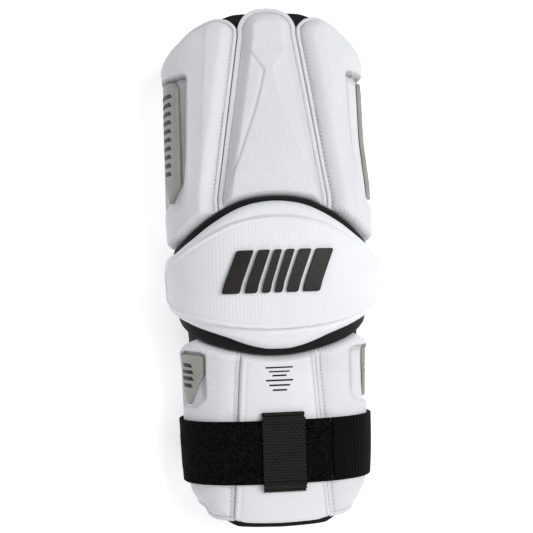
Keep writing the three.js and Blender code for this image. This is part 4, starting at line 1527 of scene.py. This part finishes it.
class Surface(Net):
    """The nodes of one material, whose shader holds the constants on its own sockets."""

    def __init__(self, name, **constants):
        self.material = bpy.data.materials.new(name)
        self.material.use_nodes = True
        super().__init__(self.material.node_tree)
        self.shader = self.tree.nodes["Principled BSDF"]
        for label, value in constants.items():
            self.shader.inputs[label.replace("_", " ")].default_value = value

    def dress(self, base, relief, depth, roughness=None):
        """Feeds the shader a colour, a bump of some depth and, where it varies, a roughness."""
        self.feed(self.shader.inputs["Base Color"], base)
        self.feed(self.shader.inputs["Roughness"], roughness)
        self.feed(self.shader.inputs["Normal"], self.bump(relief, depth))
        return self.material


def shade(tone, factor):
    """A colour made darker or lighter."""
    return (*[min(1.0, c * factor) for c in tone[:3]], 1)


# How much darker the white cloth is painted in the dips of its knit: painted shade
DIAMOND_DIP_SHADE = 0.26
RIB_DIP_SHADE = 0.14


def diamond_relief(net, pattern, pitch, tallness):
    """Diamonds all over: their relief, the dips between them, twice, and how much painted shade darkens
    those.
    """
    knit = net.effect(diamond_knit(), Vector=pattern, Pitch=pitch, Tallness=tallness)
    return knit["Height"], knit["Dip"], knit["Dip"], DIAMOND_DIP_SHADE


def rib_relief(net, pattern, pitch):
    """Ribs that give way to diamonds at the cap's foot and grow faint at its sides.

    It gives their relief, the dips between them, the plain ribs' dips, and how much painted shade darkens the
    dips.
    """
    ribs = net.effect(rib_knit(), Vector=pattern, Pitch=pitch, Tick=pitch * 0.9, Ticking=0.35)
    comb = net.effect(diamond_knit(), Vector=pattern, Pitch=pitch * 1.1, Tallness=1.0)
    across, along, _ = net.parts(pattern)
    clear = net.range(net.math("ABSOLUTE", across), 0.03, 0.062, to_low=0.65, to_high=0.15)
    low = net.range(along, -0.025, -0.036)
    relief = net.times(net.float_mix(low, ribs["Height"], comb["Height"]), clear)
    dip = net.times(net.float_mix(low, ribs["Dip"], comb["Dip"]), clear)
    return relief, dip, ribs["Dip"], RIB_DIP_SHADE


def white_cloth(name, tone, knit, depth, seamed_at=None, roughness=0.62, **pattern_sizes):
    """Moulded white cloth: its emboss, needle holes along the seam, painted shade in the seam's groove and in
    the recesses' corners, and a worn rim.
    """
    net = Surface(name, Sheen_Weight=0.12, Sheen_Roughness=0.5, Specular_IOR_Level=0.35)
    relief, dip, raw_dip, dip_shade = knit(net, net.uv("Pattern"), **pattern_sizes)
    mottle = net.effect(cloth_mottle(), Vector=net.place(), Scale=26.0)
    base = net.colour_mix(mottle["Tone"], shade(tone, 0.985), shade(tone, 1.01))
    # Painted shade in the dips of the knit
    base = net.colour_mix(net.times(dip, dip_shade), base, shade(tone, 0.55))
    relief = net.plus(relief, net.times(mottle["Grain"], 0.25))
    if seamed_at is not None:
        seam = net.uv("Seam")
        marks = net.effect(seam_marks(), Vector=seam, Inset=seamed_at * MM, Pitch=sizes("stitch_pitch") * MM)
        wear = net.effect(rim_wear(), Vector=seam, Place=net.place())
        # The recess mask from the third UV map: painted shade at the foot of the recess walls
        painted_shade = net.parts(net.uv("Recess shade"))[0]
        # Each mark's mask, its strength, and the shade of the cloth under it. The crease and recess layers
        # are painted shade; the holes and the worn rim are marks of the cloth itself
        layers = (
            (marks["Crease"], 0.12, 0.5),
            (marks["Holes"], 0.2, 0.4),
            (painted_shade, 0.6, 0.3),
            (wear["Mask"], 0.18, 0.6),
        )
        for mask, strength, factor in layers:
            base = net.colour_mix(net.times(mask, strength), base, shade(tone, factor))
        relief = net.minus(relief, net.times(marks["Holes"], 0.7))
    return net.dress(base, relief, depth, net.plus(roughness, net.times(raw_dip, 0.2)))


def black_cloth(name, tone, pitch, depth, sheen):
    """Black stretch cloth with a fine weave, a little dust and a soft sheen."""
    net = Surface(name, Sheen_Weight=sheen, Sheen_Roughness=0.4, Specular_IOR_Level=0.3)
    weave = net.effect(plain_weave(), Vector=net.uv("Pattern"), Pitch=pitch, Tallness=1.0)
    mottle = net.effect(cloth_mottle(), Vector=net.place(), Scale=40.0)
    base = net.colour_mix(mottle["Tone"], shade(tone, 0.8), shade(tone, 1.5))
    base = net.colour_mix(net.times(weave["Dip"], 0.6), base, shade(tone, 0.35))
    relief = net.plus(weave["Height"], net.times(mottle["Grain"], 0.4))
    return net.dress(base, relief, depth, net.plus(0.7, net.times(mottle["Grain"], 0.25)))


def pile_cloth():
    """Loop pile: a fuzzy, mottled black with tiny brighter tips."""
    tone = colour("pile")
    net = Surface("pile_cloth", Sheen_Weight=0.0, Specular_IOR_Level=0.06, Roughness=0.95)
    place = net.place()
    fuzz = net.noise(place, scale=1500.0, detail=3.0, roughness=0.75)
    patches = net.noise(place, scale=650.0, detail=3.0, roughness=0.7)
    base = net.colour_mix(net.range(patches, 0.47, 0.6), shade(tone, 0.2), shade(tone, 4.0))
    base = net.colour_mix(net.range(fuzz, 0.55, 0.75), base, shade(tone, 26.0))
    return net.dress(base, net.plus(fuzz, net.times(patches, 1.5)), 0.0009)


def elastic_cloth():
    """Ribbed elastic: fine ticks of rubber thread on each rib."""
    tone = colour("pile")
    net = Surface("elastic_cloth", Sheen_Weight=0.0, Specular_IOR_Level=0.08)
    pitch = sizes("elastic_pitch") * MM
    ribs = net.effect(rib_knit(), Vector=net.uv("Pattern"), Pitch=pitch, Tick=pitch * 0.55, Ticking=0.55)
    mottle = net.effect(cloth_mottle(), Vector=net.place(), Scale=60.0)
    base = net.colour_mix(net.times(ribs["Height"], 0.8), shade(tone, 0.4), shade(tone, 2.0))
    return net.dress(base, ribs["Height"], 0.0003, net.plus(0.55, net.times(mottle["Grain"], 0.4)))


def webbing_cloth():
    """Coarse webbing: its yarns are in the mesh, with fine fibres here."""
    tone = colour("webbing")
    net = Surface("webbing_cloth", Sheen_Weight=0.0, Specular_IOR_Level=0.2)
    pitch = sizes("web_pitch") * MM
    u, v, _ = net.parts(net.uv("Pattern"))
    row = net.over(v, pitch * WEB_ROW)
    turn = net.plus(net.over(u, pitch), net.times(net.math("FLOOR", row), 0.5))
    hump = net.math("ABSOLUTE", net.math("SINE", net.times(turn, math.pi)))
    rise = net.math("ABSOLUTE", net.math("SINE", net.times(row, math.pi)))
    yarn = net.times(net.range(hump, 0.25, 0.9), net.range(rise, 0.25, 0.8))
    mottle = net.effect(cloth_mottle(), Vector=net.place(), Scale=50.0)
    base = net.colour_mix(yarn, shade(tone, 0.35), shade(tone, 6.5))
    base = net.colour_mix(net.times(mottle["Tone"], 0.3), base, shade(tone, 2.0))
    relief = net.plus(yarn, mottle["Grain"])
    return net.dress(base, relief, 0.0003, net.plus(0.4, net.times(mottle["Grain"], 0.4)))


def plate_plastic():
    """Matte grey moulded plastic with a fine spark grain and faint clouds."""
    tone = colour("plate")
    net = Surface("insert_plastic", Specular_IOR_Level=0.45)
    grain = net.noise(net.place(), scale=2200.0, detail=2.0, roughness=0.6)
    cloud = net.noise(net.place(), scale=45.0, detail=3.0)
    base = net.colour_mix(net.range(cloud, 0.35, 0.65), shade(tone, 0.93), shade(tone, 1.07))
    return net.dress(base, grain, 0.00008, net.range(cloud, 0.3, 0.7, to_low=0.5, to_high=0.62))


def block_rubber(name, tone):
    """Satin charcoal rubber with a fine grain."""
    net = Surface(name, Specular_IOR_Level=0.25)
    grain = net.noise(net.place(), scale=1400.0, detail=3.0, roughness=0.65)
    cloud = net.noise(net.place(), scale=70.0, detail=3.0)
    base = net.colour_mix(net.range(cloud, 0.35, 0.65), shade(tone, 0.85), shade(tone, 1.2))
    return net.dress(base, grain, 0.00015, net.range(grain, 0.3, 0.7, to_low=0.42, to_high=0.6))


def sewing_thread(name, tone):
    """Twisted sewing thread."""
    net = Surface(name, Sheen_Weight=0.2, Roughness=0.6)
    twist = net.noise(net.place(), scale=2600.0, detail=2.0)
    return net.dress(net.colour_mix(twist, shade(tone, 0.75), tone), twist, 0.0001)


MATERIALS = {}


def pad_material(finish):
    """One of the pad's materials, made when it is first asked for."""
    if finish in MATERIALS:
        return MATERIALS[finish]
    white, black, rubber = colour("white"), colour("black"), colour("rubber")
    knit_pitch = sizes("knit_pitch") * MM
    knit = {"knit": diamond_relief, "seamed_at": sizes("seam_inset")}
    makers = {
        "knit": lambda: white_cloth(
            "white_knit", white, depth=0.0003, pitch=knit_pitch, tallness=1.75, **knit
        ),
        "wide knit": lambda: white_cloth(
            "white_wide_knit", white, depth=0.00034, pitch=1.35 * knit_pitch, tallness=1.2, **knit
        ),
        "satin": lambda: white_cloth(
            "white_satin", colour("satin"), depth=0.00002, roughness=0.5, pitch=0.0007, tallness=1.0, **knit
        ),
        "ribs": lambda: white_cloth(
            "cap_ribs", white, rib_relief, depth=0.00017, pitch=sizes("rib_pitch") * MM
        ),
        "sleeve": lambda: black_cloth("sleeve_cloth", black, pitch=0.0009, depth=0.00012, sheen=0.02),
        "backing": lambda: black_cloth("backing_cloth", black, pitch=0.0011, depth=0.00015, sheen=0.1),
        "pile": pile_cloth,
        "elastic": elastic_cloth,
        "webbing": webbing_cloth,
        "plate": plate_plastic,
        "rubber": lambda: block_rubber("badge_rubber", rubber),
        "print": lambda: block_rubber("black_print", shade(rubber, 0.2)),
        "thread": lambda: sewing_thread("white_thread", white),
    }
    MATERIALS[finish] = makers[finish]()
    return MATERIALS[finish]


# The pad's pieces, group by group
def make_sleeve():
    """The sleeve: a thin tube with a turned hem at both ends and soft wrinkles at the elbow's sides."""
    shares = np.linspace(-1, 1, 127)
    up = spaced(PAD_LENGTH, fine=1.0, coarse=3.4, marks=[FOREARM_RISE], reach=8)
    size = np.abs(shares)[None, :]
    foot = sleeve_foot(size * FOREARM_GIRTH)
    top = sleeve_top(size * UPPER_GIRTH)
    along = mix(foot, top, up[:, None])
    girth = shares[None, :] * half_girth(along)
    from_end = np.minimum(along - foot, top - along)
    hem = HEM_RISE * ease((HEM_WIDTH - from_end) / 0.8) - 0.7 * (1 - round_up(from_end / 1.0))
    bare = ease((np.abs(girth) - 122) / 10) * ease((52 - np.abs(along + 4)) / 20)
    wrinkle = -WRINKLE_DEPTH * bare * (0.5 + 0.5 * np.sin(along / 4.2 + 1.3 * np.sin(girth / 17)))
    on_back = ease((12 - section_point(along, angle_at_girth(girth, along))[..., 2]) / 8)
    outer = on_sleeve(girth, along, np.minimum(hem, 0.45) + wrinkle * (1 - on_back))
    inner = on_sleeve(girth, along, -SLEEVE_WALL - hem * 0.5)
    uvs = {"Pattern": grid_uv(girth, along)}
    piece = shell("sleeve_tube", "sleeve", outer, inner, "sleeve", uvs, closed=True)


def make_upper_panels():
    """The upper arm's centre lobe and two side lobes."""
    across = spaced(2 * CENTRE_FOOT_HALF, fine=0.45, coarse=1.0)
    up = spaced(UPPER_END - ELBOW_TOP, fine=0.45, coarse=1.0)
    node = "upper_centre_lobe"
    panel_piece(node + "_shell", node, 1, CENTRE_LOBE, across, up, centre_lobe_height, "knit")
    # The marks lie near the recess's walls
    across = spaced(96, fine=0.38, coarse=1.25, marks=[18, 22, 26, 30, 34, 77], reach=3)
    up = spaced(132, fine=0.42, coarse=1.3, marks=[119, 124, 129], reach=3)
    for word, side in SIDES:
        node, shift = "upper_" + word + "_lobe", recess_shift(side)
        # Each side lobe's recess gets painted shade at the foot of its walls
        height, painted_shade = side_lobe_height(shift), shifted(upper_recess_shade, shift)
        panel_piece(node + "_shell", node, side, SIDE_LOBE, across, up, height, "knit", painted_shade=painted_shade)


def insert_pieces(part, word, side, size, bars, lift, highest=None):
    """A grey plate in its recess and the bars on it. The right plate is narrower and lies further round."""
    shift, tuck = recess_shift(side), RIGHT_TUCK if side > 0 else 0
    plate = part + "_" + word + "_plate"
    node = part + "_" + word + "_insert"
    outline = insert_outline(tucked(size, tuck), highest) + [shift, 0]
    plate_piece(plate, node, side, outline, lift, INSERT_SEAT, size["thickness"], "plate")
    bars = tucked_bars(bars, size, tuck, shift)
    bars_piece(plate + "_bars", side, bars, lift, INSERT_SEAT + size["print_rise"])


def make_inserts():
    """The grey plates in the four recesses, with plain bars in place of any print."""
    # Each bar's girth, along, width, height and lean
    upper_bars = [(78.5 - 0.03 * k * k, 129 - 6.3 * k, 20 - 1.2 * k, 3.2, 2.2) for k in range(10)]
    forearm_bars = [(66.5, -67 - 5.2 * k, 15 - 2.6 * abs(k - 1.5), 2.9, 2.0) for k in range(4)]
    for word, side in SIDES:
        upper_lift = lift_over(SIDE_LOBE, side_lobe_height(recess_shift(side)))
        forearm_lift = lift_over(FOREARM_SIDE, forearm_side_height(recess_shift(side)))
        insert_pieces("upper", word, side, UPPER_INSERT, upper_bars, upper_lift)
        insert_pieces("forearm", word, side, FOREARM_INSERT, forearm_bars, forearm_lift, forearm_plate_top)


def make_backing():
    """The black padded sheet under the cap, with a rolled rim."""
    across = spaced(2 * ELBOW_REACH, fine=0.5, coarse=2.0, reach=4)
    up = spaced(ELBOW_TOP + ELBOW_FOOT, fine=0.5, coarse=2.0, reach=5)
    node = "elbow_backing"
    panel_piece(node + "_pad", node, 1, BACKING, across, up, backing_height, "backing")


def make_cap():
    """The white elbow cap with its raised lens, whose ends the marks lie near."""
    across = spaced(2 * CAP_REACH, fine=0.5, coarse=1.3, marks=[42, 186], reach=5)
    up = spaced(ELBOW_TOP + ELBOW_FOOT - 2 * CAP_REVEAL, fine=0.5, coarse=1.05)
    panel_piece("elbow_cap_shell", "elbow_cap", 1, CAP, across, up, cap_height, "ribs")


def make_badge():
    """Slanted rubber blocks on the cap, wide at the ends and narrow in the middle."""
    cap_lift = lift_over(CAP, cap_height)
    run = BADGE_WIDTH - BADGE_SLANT - BADGE_GAP * (len(BLOCK_SHARES) - 1)
    start = -BADGE_WIDTH / 2
    low, high = BADGE_CENTRE - BADGE_HEIGHT / 2, BADGE_CENTRE + BADGE_HEIGHT / 2
    for number, share in enumerate(BLOCK_SHARES, 1):
        end = start + share * run
        corners = [(start, low), (end, low), (end + BADGE_SLANT, high), (start + BADGE_SLANT, high)]
        outline = rounded(np.array(corners), BADGE_CORNER)
        node = "badge_block_" + str(number)
        plate_piece(node + "_rubber", node, 1, outline, cap_lift, BADGE_SEAT, BADGE_THICKNESS, "rubber")
        start += share * run + BADGE_GAP


def rounded(corners, radius, steps=5):
    """A polygon's outline with round corners."""
    points = []
    count = len(corners)
    for k in range(count):
        here = corners[k]
        back = corners[k - 1] - here
        ahead = corners[(k + 1) % count] - here
        back = here + back / np.hypot(*back) * radius
        ahead = here + ahead / np.hypot(*ahead) * radius
        for t in np.linspace(0, 1, steps):
            points.append(mix(mix(back, here, t), mix(here, ahead, t), t))
    return np.array(points)


def make_forearm_panels():
    """The forearm's smooth centre panel and two side panels."""
    across = spaced(2 * FOREARM_TOP_HALF, fine=0.45, coarse=1.2)
    up = spaced(120, fine=0.45, coarse=1.2)
    node, height = "forearm_centre_panel", forearm_centre_height
    panel_piece(node + "_shell", node, 1, FOREARM_CENTRE, across, up, height, "satin")
    # The marks lie near the recess's walls
    across = spaced(82, fine=0.45, coarse=1.3, marks=[20, 58], reach=3)
    up = spaced(125, fine=0.45, coarse=1.3, marks=[76, 118], reach=4)
    for word, side in SIDES:
        node, shift = "forearm_" + word + "_panel", recess_shift(side)
        # Each side panel's recess gets painted shade at the foot of its walls
        height, painted_shade = forearm_side_height(shift), shifted(forearm_recess_shade, shift)
        panel_piece(
            node + "_shell", node, side, FOREARM_SIDE, across, up, height, "wide knit", painted_shade=painted_shade
        )


def make_print():
    """A small plain mark on the forearm's centre panel: bars of three lengths."""
    lift = lift_over(FOREARM_CENTRE, forearm_centre_height)
    # Each bar's girth, along, width, height and lean
    bars = [(0.5, -68.5 - 3.6 * k, 19 - 4.5 * (k % 3), 1.3, 0.0) for k in range(6)]
    bars_piece("forearm_centre_bars", 1, bars, lift, PRINT_SEAT)


def make_strap():
    """The fuzzy pile part and the ribbed elastic part of the strap."""
    rng = np.random.default_rng(7)
    fuzz = rng.random((400, 800))

    def pile_texture(girth, along):
        rows, columns = np.shape(girth)
        noise = fuzz[:rows, :columns]
        smooth = (noise + np.roll(noise, 1, 0) + np.roll(noise, 1, 1) + np.roll(noise, 2, 1)) / 4
        return 0.55 * (smooth - 0.5) + 0.25 * np.sin(girth / 3.1) * np.sin(along / 2.7 + girth / 5)

    def elastic_texture(girth, along):
        return 0.35 * np.abs(np.cos(math.pi * girth / sizes("elastic_pitch"))) - 0.25

    strap_piece("strap_pile_cloth", "strap_pile", -STRAP_MEET, STRAP_SEAM, pile_texture, 0.8, "pile")
    start, end = STRAP_SEAM + CLEARANCE, 2 * STRAP_HALF_GIRTH - STRAP_MEET - 1.5
    strap_piece("strap_elastic_cloth", "strap_elastic", start, end, elastic_texture, 0.6, "elastic")


def make_keeper():
    """The webbing keeper: woven in the mesh, with a folded end at the top and foot and rows of tacking."""
    columns = np.arange(0, KEEPER_WIDTH + 0.01, 0.5)
    along = np.linspace(-KEEPER_LENGTH / 2, KEEPER_LENGTH / 2, 155)[:, None] + 0 * columns[None, :]
    girth = KEEPER_OFFSET + (columns[None, :] - KEEPER_WIDTH / 2) / KEEPER_SPREAD + 0 * along
    pitch = sizes("web_pitch")
    edge = np.minimum(columns, KEEPER_WIDTH - columns)[None, :] + 0 * along
    end = KEEPER_LENGTH / 2 - np.abs(along)
    row = along / (pitch * WEB_ROW)
    cross = columns[None, :] / pitch + 0.5 * np.floor(row)
    weave = WEB_RELIEF * np.abs(np.sin(math.pi * row)) ** 0.7 * np.abs(np.sin(math.pi * cross)) ** 0.7
    fold = KEEPER_FOLD_RISE * ease((KEEPER_FOLD - end) / 1.2)
    rows = bump_at(end, KEEPER_FOLD - 1.6, 0.5), bump_at(end, 2.4, 0.5)
    tack = TACKING_DEPTH * rows[0] + TACKING_DEPTH * rows[1]
    rim = np.minimum(edge, end)
    soft = KEEPER_ROUNDING * (1 - round_up(rim / 1.1))
    selvedge = SELVEDGE_RISE * bump_at(edge, 1.0, 0.7)
    base = keeper_lift(along)
    top = base + KEEPER_THICKNESS + fold + weave - 0.2 - tack - soft + selvedge
    outer = on_sleeve(girth, STRAP_CENTRE + along, top)
    inner = on_sleeve(girth, STRAP_CENTRE + along, base + 0.4 * soft)
    outward = np.sign(girth - KEEPER_OFFSET)
    outer[..., 0] += SELVEDGE_WAVE * np.sin(along * 1.9) * outward * ease((2 - edge) / 2)
    uvs = {"Pattern": grid_uv(columns[None, :] + 0 * along, along)}
    piece = shell("strap_keeper_webbing", "strap_keeper", outer, inner, "webbing", uvs)

def make_seams():
    """The stitches of every panel's seam, in one piece for the upper arm and one for the forearm."""
    inset = sizes("seam_inset")
    rows = seam_threads(CENTRE_LOBE, 1, centre_lobe_height, sizes("centre_seam_inset"))
    for _, side in SIDES:
        rows += seam_threads(SIDE_LOBE, side, side_lobe_height(recess_shift(side)), inset)
    joined_threads("upper_seam_threads", rows)
    rows = []
    for _, side in SIDES:
        rows += seam_threads(FOREARM_SIDE, side, forearm_side_height(0), inset)
    joined_threads("forearm_seam_threads", rows)


def look_at_pad():
    """The camera at the photograph's angle, with the pad's middle at its place in the frame."""
    back = Vector(
        (
            -math.sin(CAMERA_TILT) * math.cos(CAMERA_PITCH),
            -math.sin(CAMERA_PITCH),
            math.cos(CAMERA_TILT) * math.cos(CAMERA_PITCH),
        )
    )
    up = (Vector((0, 1, 0)) - back * back.y).normalized()
    right = up.cross(back)
    turned_right = right * math.cos(CAMERA_ROLL) - up * math.sin(CAMERA_ROLL)
    turned_up = right * math.sin(CAMERA_ROLL) + up * math.cos(CAMERA_ROLL)
    data = bpy.data.cameras.new("pad_camera")
    data.sensor_width = CAMERA_SENSOR
    data.lens = CAMERA_DISTANCE / PHOTO_SCALE / PHOTO_SIDE * CAMERA_SENSOR
    data.shift_x = 0.5 - PHOTO_AIM[0] / PHOTO_SIDE
    data.shift_y = PHOTO_AIM[1] / PHOTO_SIDE - 0.5
    data.clip_start, data.clip_end = 0.01, 20
    camera = bpy.data.objects.new("pad_camera", data)
    bpy.context.scene.collection.objects.link(camera)
    turn = Matrix((turned_right, turned_up, back)).transposed()
    camera.matrix_world = Matrix.Translation(CAMERA_AIM + back * CAMERA_DISTANCE) @ turn.to_4x4()
    bpy.context.scene.camera = camera


# The lights: place and size in metres, and power in watts
LIGHTS = {
    "key_light": ((0.66, 0.2, 1.25), (0.7, 0.7), 12.6),
    "fill_light": ((-0.9, -0.2, 1.2), (1.2, 1.2), 2.6),
    "foot_light": ((0.1, -1.1, 1.0), (1.4, 0.7), 3.5),
}


def soft_light(name, place, size, power):
    """A large soft light that looks at the pad."""
    data = bpy.data.lights.new(name, "AREA")
    data.shape = "RECTANGLE"
    data.size, data.size_y = size
    data.energy = power
    light = bpy.data.objects.new(name, data)
    bpy.context.scene.collection.objects.link(light)
    light.location = place
    light.rotation_euler = (CAMERA_AIM - Vector(place)).to_track_quat("-Z", "Y").to_euler()


def make_stage():
    """A plain pale floor, soft lights, and the camera."""
    corners = [(x * FLOOR_HALF, y * FLOOR_HALF, 0) for x, y in ((-1, -1), (1, -1), (1, 1), (-1, 1))]
    mesh = bpy.data.meshes.new("floor")
    mesh.from_pydata(corners, [], [(0, 1, 2, 3)])
    pale = Surface(
        "pale_floor",
        Roughness=0.9,
        Specular_IOR_Level=0.1,
        Emission_Color=(1, 1, 1, 1),
        Emission_Strength=FLOOR_GLOW,
    )
    cloud = pale.noise(pale.place(), scale=3.0, detail=2.0)
    tone = pale.colour_mix(cloud, (0.93, 0.93, 0.93, 1), (0.95, 0.95, 0.95, 1))
    pale.feed(pale.shader.inputs["Base Color"], tone)
    link("floor", mesh, pale.material)
    look_at_pad()
    for name, (place, size, power) in LIGHTS.items():
        soft_light(name, place, size, power)
    scene = bpy.context.scene
    scene.view_settings.view_transform = "Standard"
    scene.world = bpy.data.worlds.new("studio")
    scene.world.use_nodes = True
    sky = scene.world.node_tree.nodes["Background"]
    sky.inputs["Color"].default_value = SKY_COLOUR
    sky.inputs["Strength"].default_value = SKY_STRENGTH


class ARMPAD_OT_sleeve(bpy.types.Operator):
    """Build the black stretch sleeve"""

    bl_idname = "arm_pad.sleeve"
    bl_label = "Sleeve"

    def execute(self, context):
        make_sleeve()
        return {"FINISHED"}


class ARMPAD_OT_upper_panels(bpy.types.Operator):
    """Build the upper arm's three moulded lobes"""

    bl_idname = "arm_pad.upper_panels"
    bl_label = "Upper panels"

    def execute(self, context):
        make_upper_panels()
        return {"FINISHED"}


class ARMPAD_OT_inserts(bpy.types.Operator):
    """Build the grey plates and their bars"""

    bl_idname = "arm_pad.inserts"
    bl_label = "Plates"

    def execute(self, context):
        make_inserts()
        return {"FINISHED"}


class ARMPAD_OT_backing(bpy.types.Operator):
    """Build the black pad under the elbow cap"""

    bl_idname = "arm_pad.backing"
    bl_label = "Elbow backing"

    def execute(self, context):
        make_backing()
        return {"FINISHED"}


class ARMPAD_OT_cap(bpy.types.Operator):
    """Build the elbow cap"""

    bl_idname = "arm_pad.cap"
    bl_label = "Elbow cap"

    def execute(self, context):
        make_cap()
        return {"FINISHED"}


class ARMPAD_OT_badge(bpy.types.Operator):
    """Build the rubber blocks on the cap"""

    bl_idname = "arm_pad.badge"
    bl_label = "Badge blocks"

    def execute(self, context):
        make_badge()
        return {"FINISHED"}


class ARMPAD_OT_forearm_panels(bpy.types.Operator):
    """Build the forearm's three panels and the bars on the middle one"""

    bl_idname = "arm_pad.forearm_panels"
    bl_label = "Forearm panels"

    def execute(self, context):
        make_forearm_panels()
        make_print()
        return {"FINISHED"}


class ARMPAD_OT_strap(bpy.types.Operator):
    """Build the strap's pile and elastic parts"""

    bl_idname = "arm_pad.strap"
    bl_label = "Strap"

    def execute(self, context):
        make_strap()
        return {"FINISHED"}


class ARMPAD_OT_keeper(bpy.types.Operator):
    """Build the webbing keeper over the strap"""

    bl_idname = "arm_pad.keeper"
    bl_label = "Strap keeper"

    def execute(self, context):
        make_keeper()
        return {"FINISHED"}


class ARMPAD_OT_seams(bpy.types.Operator):
    """Sew the panels' seams"""

    bl_idname = "arm_pad.seams"
    bl_label = "Seams"

    def execute(self, context):
        make_seams()
        return {"FINISHED"}


class ARMPAD_OT_stage(bpy.types.Operator):
    """Set the floor, the lights and the camera"""

    bl_idname = "arm_pad.stage"
    bl_label = "Stage"

    def execute(self, context):
        make_stage()
        return {"FINISHED"}


OPERATORS = (
    ARMPAD_OT_stage,
    ARMPAD_OT_sleeve,
    ARMPAD_OT_upper_panels,
    ARMPAD_OT_inserts,
    ARMPAD_OT_backing,
    ARMPAD_OT_cap,
    ARMPAD_OT_badge,
    ARMPAD_OT_forearm_panels,
    ARMPAD_OT_strap,
    ARMPAD_OT_keeper,
    ARMPAD_OT_seams,
)


class ARMPAD_PT_panel(bpy.types.Panel):
    """Lists the pad's sizes, colours and operators"""

    bl_idname = "ARMPAD_PT_panel"
    bl_label = "Arm pad"
    bl_space_type = "VIEW_3D"
    bl_region_type = "UI"
    bl_category = "Arm pad"

    def draw(self, context):
        for group in (context.scene.arm_pad_sizes, context.scene.arm_pad_colours):
            box = self.layout.box()
            for name in group.__annotations__:
                box.prop(group, name)
        for operator in OPERATORS:
            self.layout.operator(operator.bl_idname)


CLASSES = (ArmPadSizes, ArmPadColours, *OPERATORS, ARMPAD_PT_panel)


def register():
    for each in CLASSES:
        bpy.utils.register_class(each)
    bpy.types.Scene.arm_pad_sizes = bpy.props.PointerProperty(type=ArmPadSizes)
    bpy.types.Scene.arm_pad_colours = bpy.props.PointerProperty(type=ArmPadColours)


def unregister():
    del bpy.types.Scene.arm_pad_colours
    del bpy.types.Scene.arm_pad_sizes
    for each in reversed(CLASSES):
        bpy.utils.unregister_class(each)


def main():
    register()
    for operator in OPERATORS:
        group, name = operator.bl_idname.split(".")
        getattr(getattr(bpy.ops, group), name)()


if __name__ == "__main__":
    main()
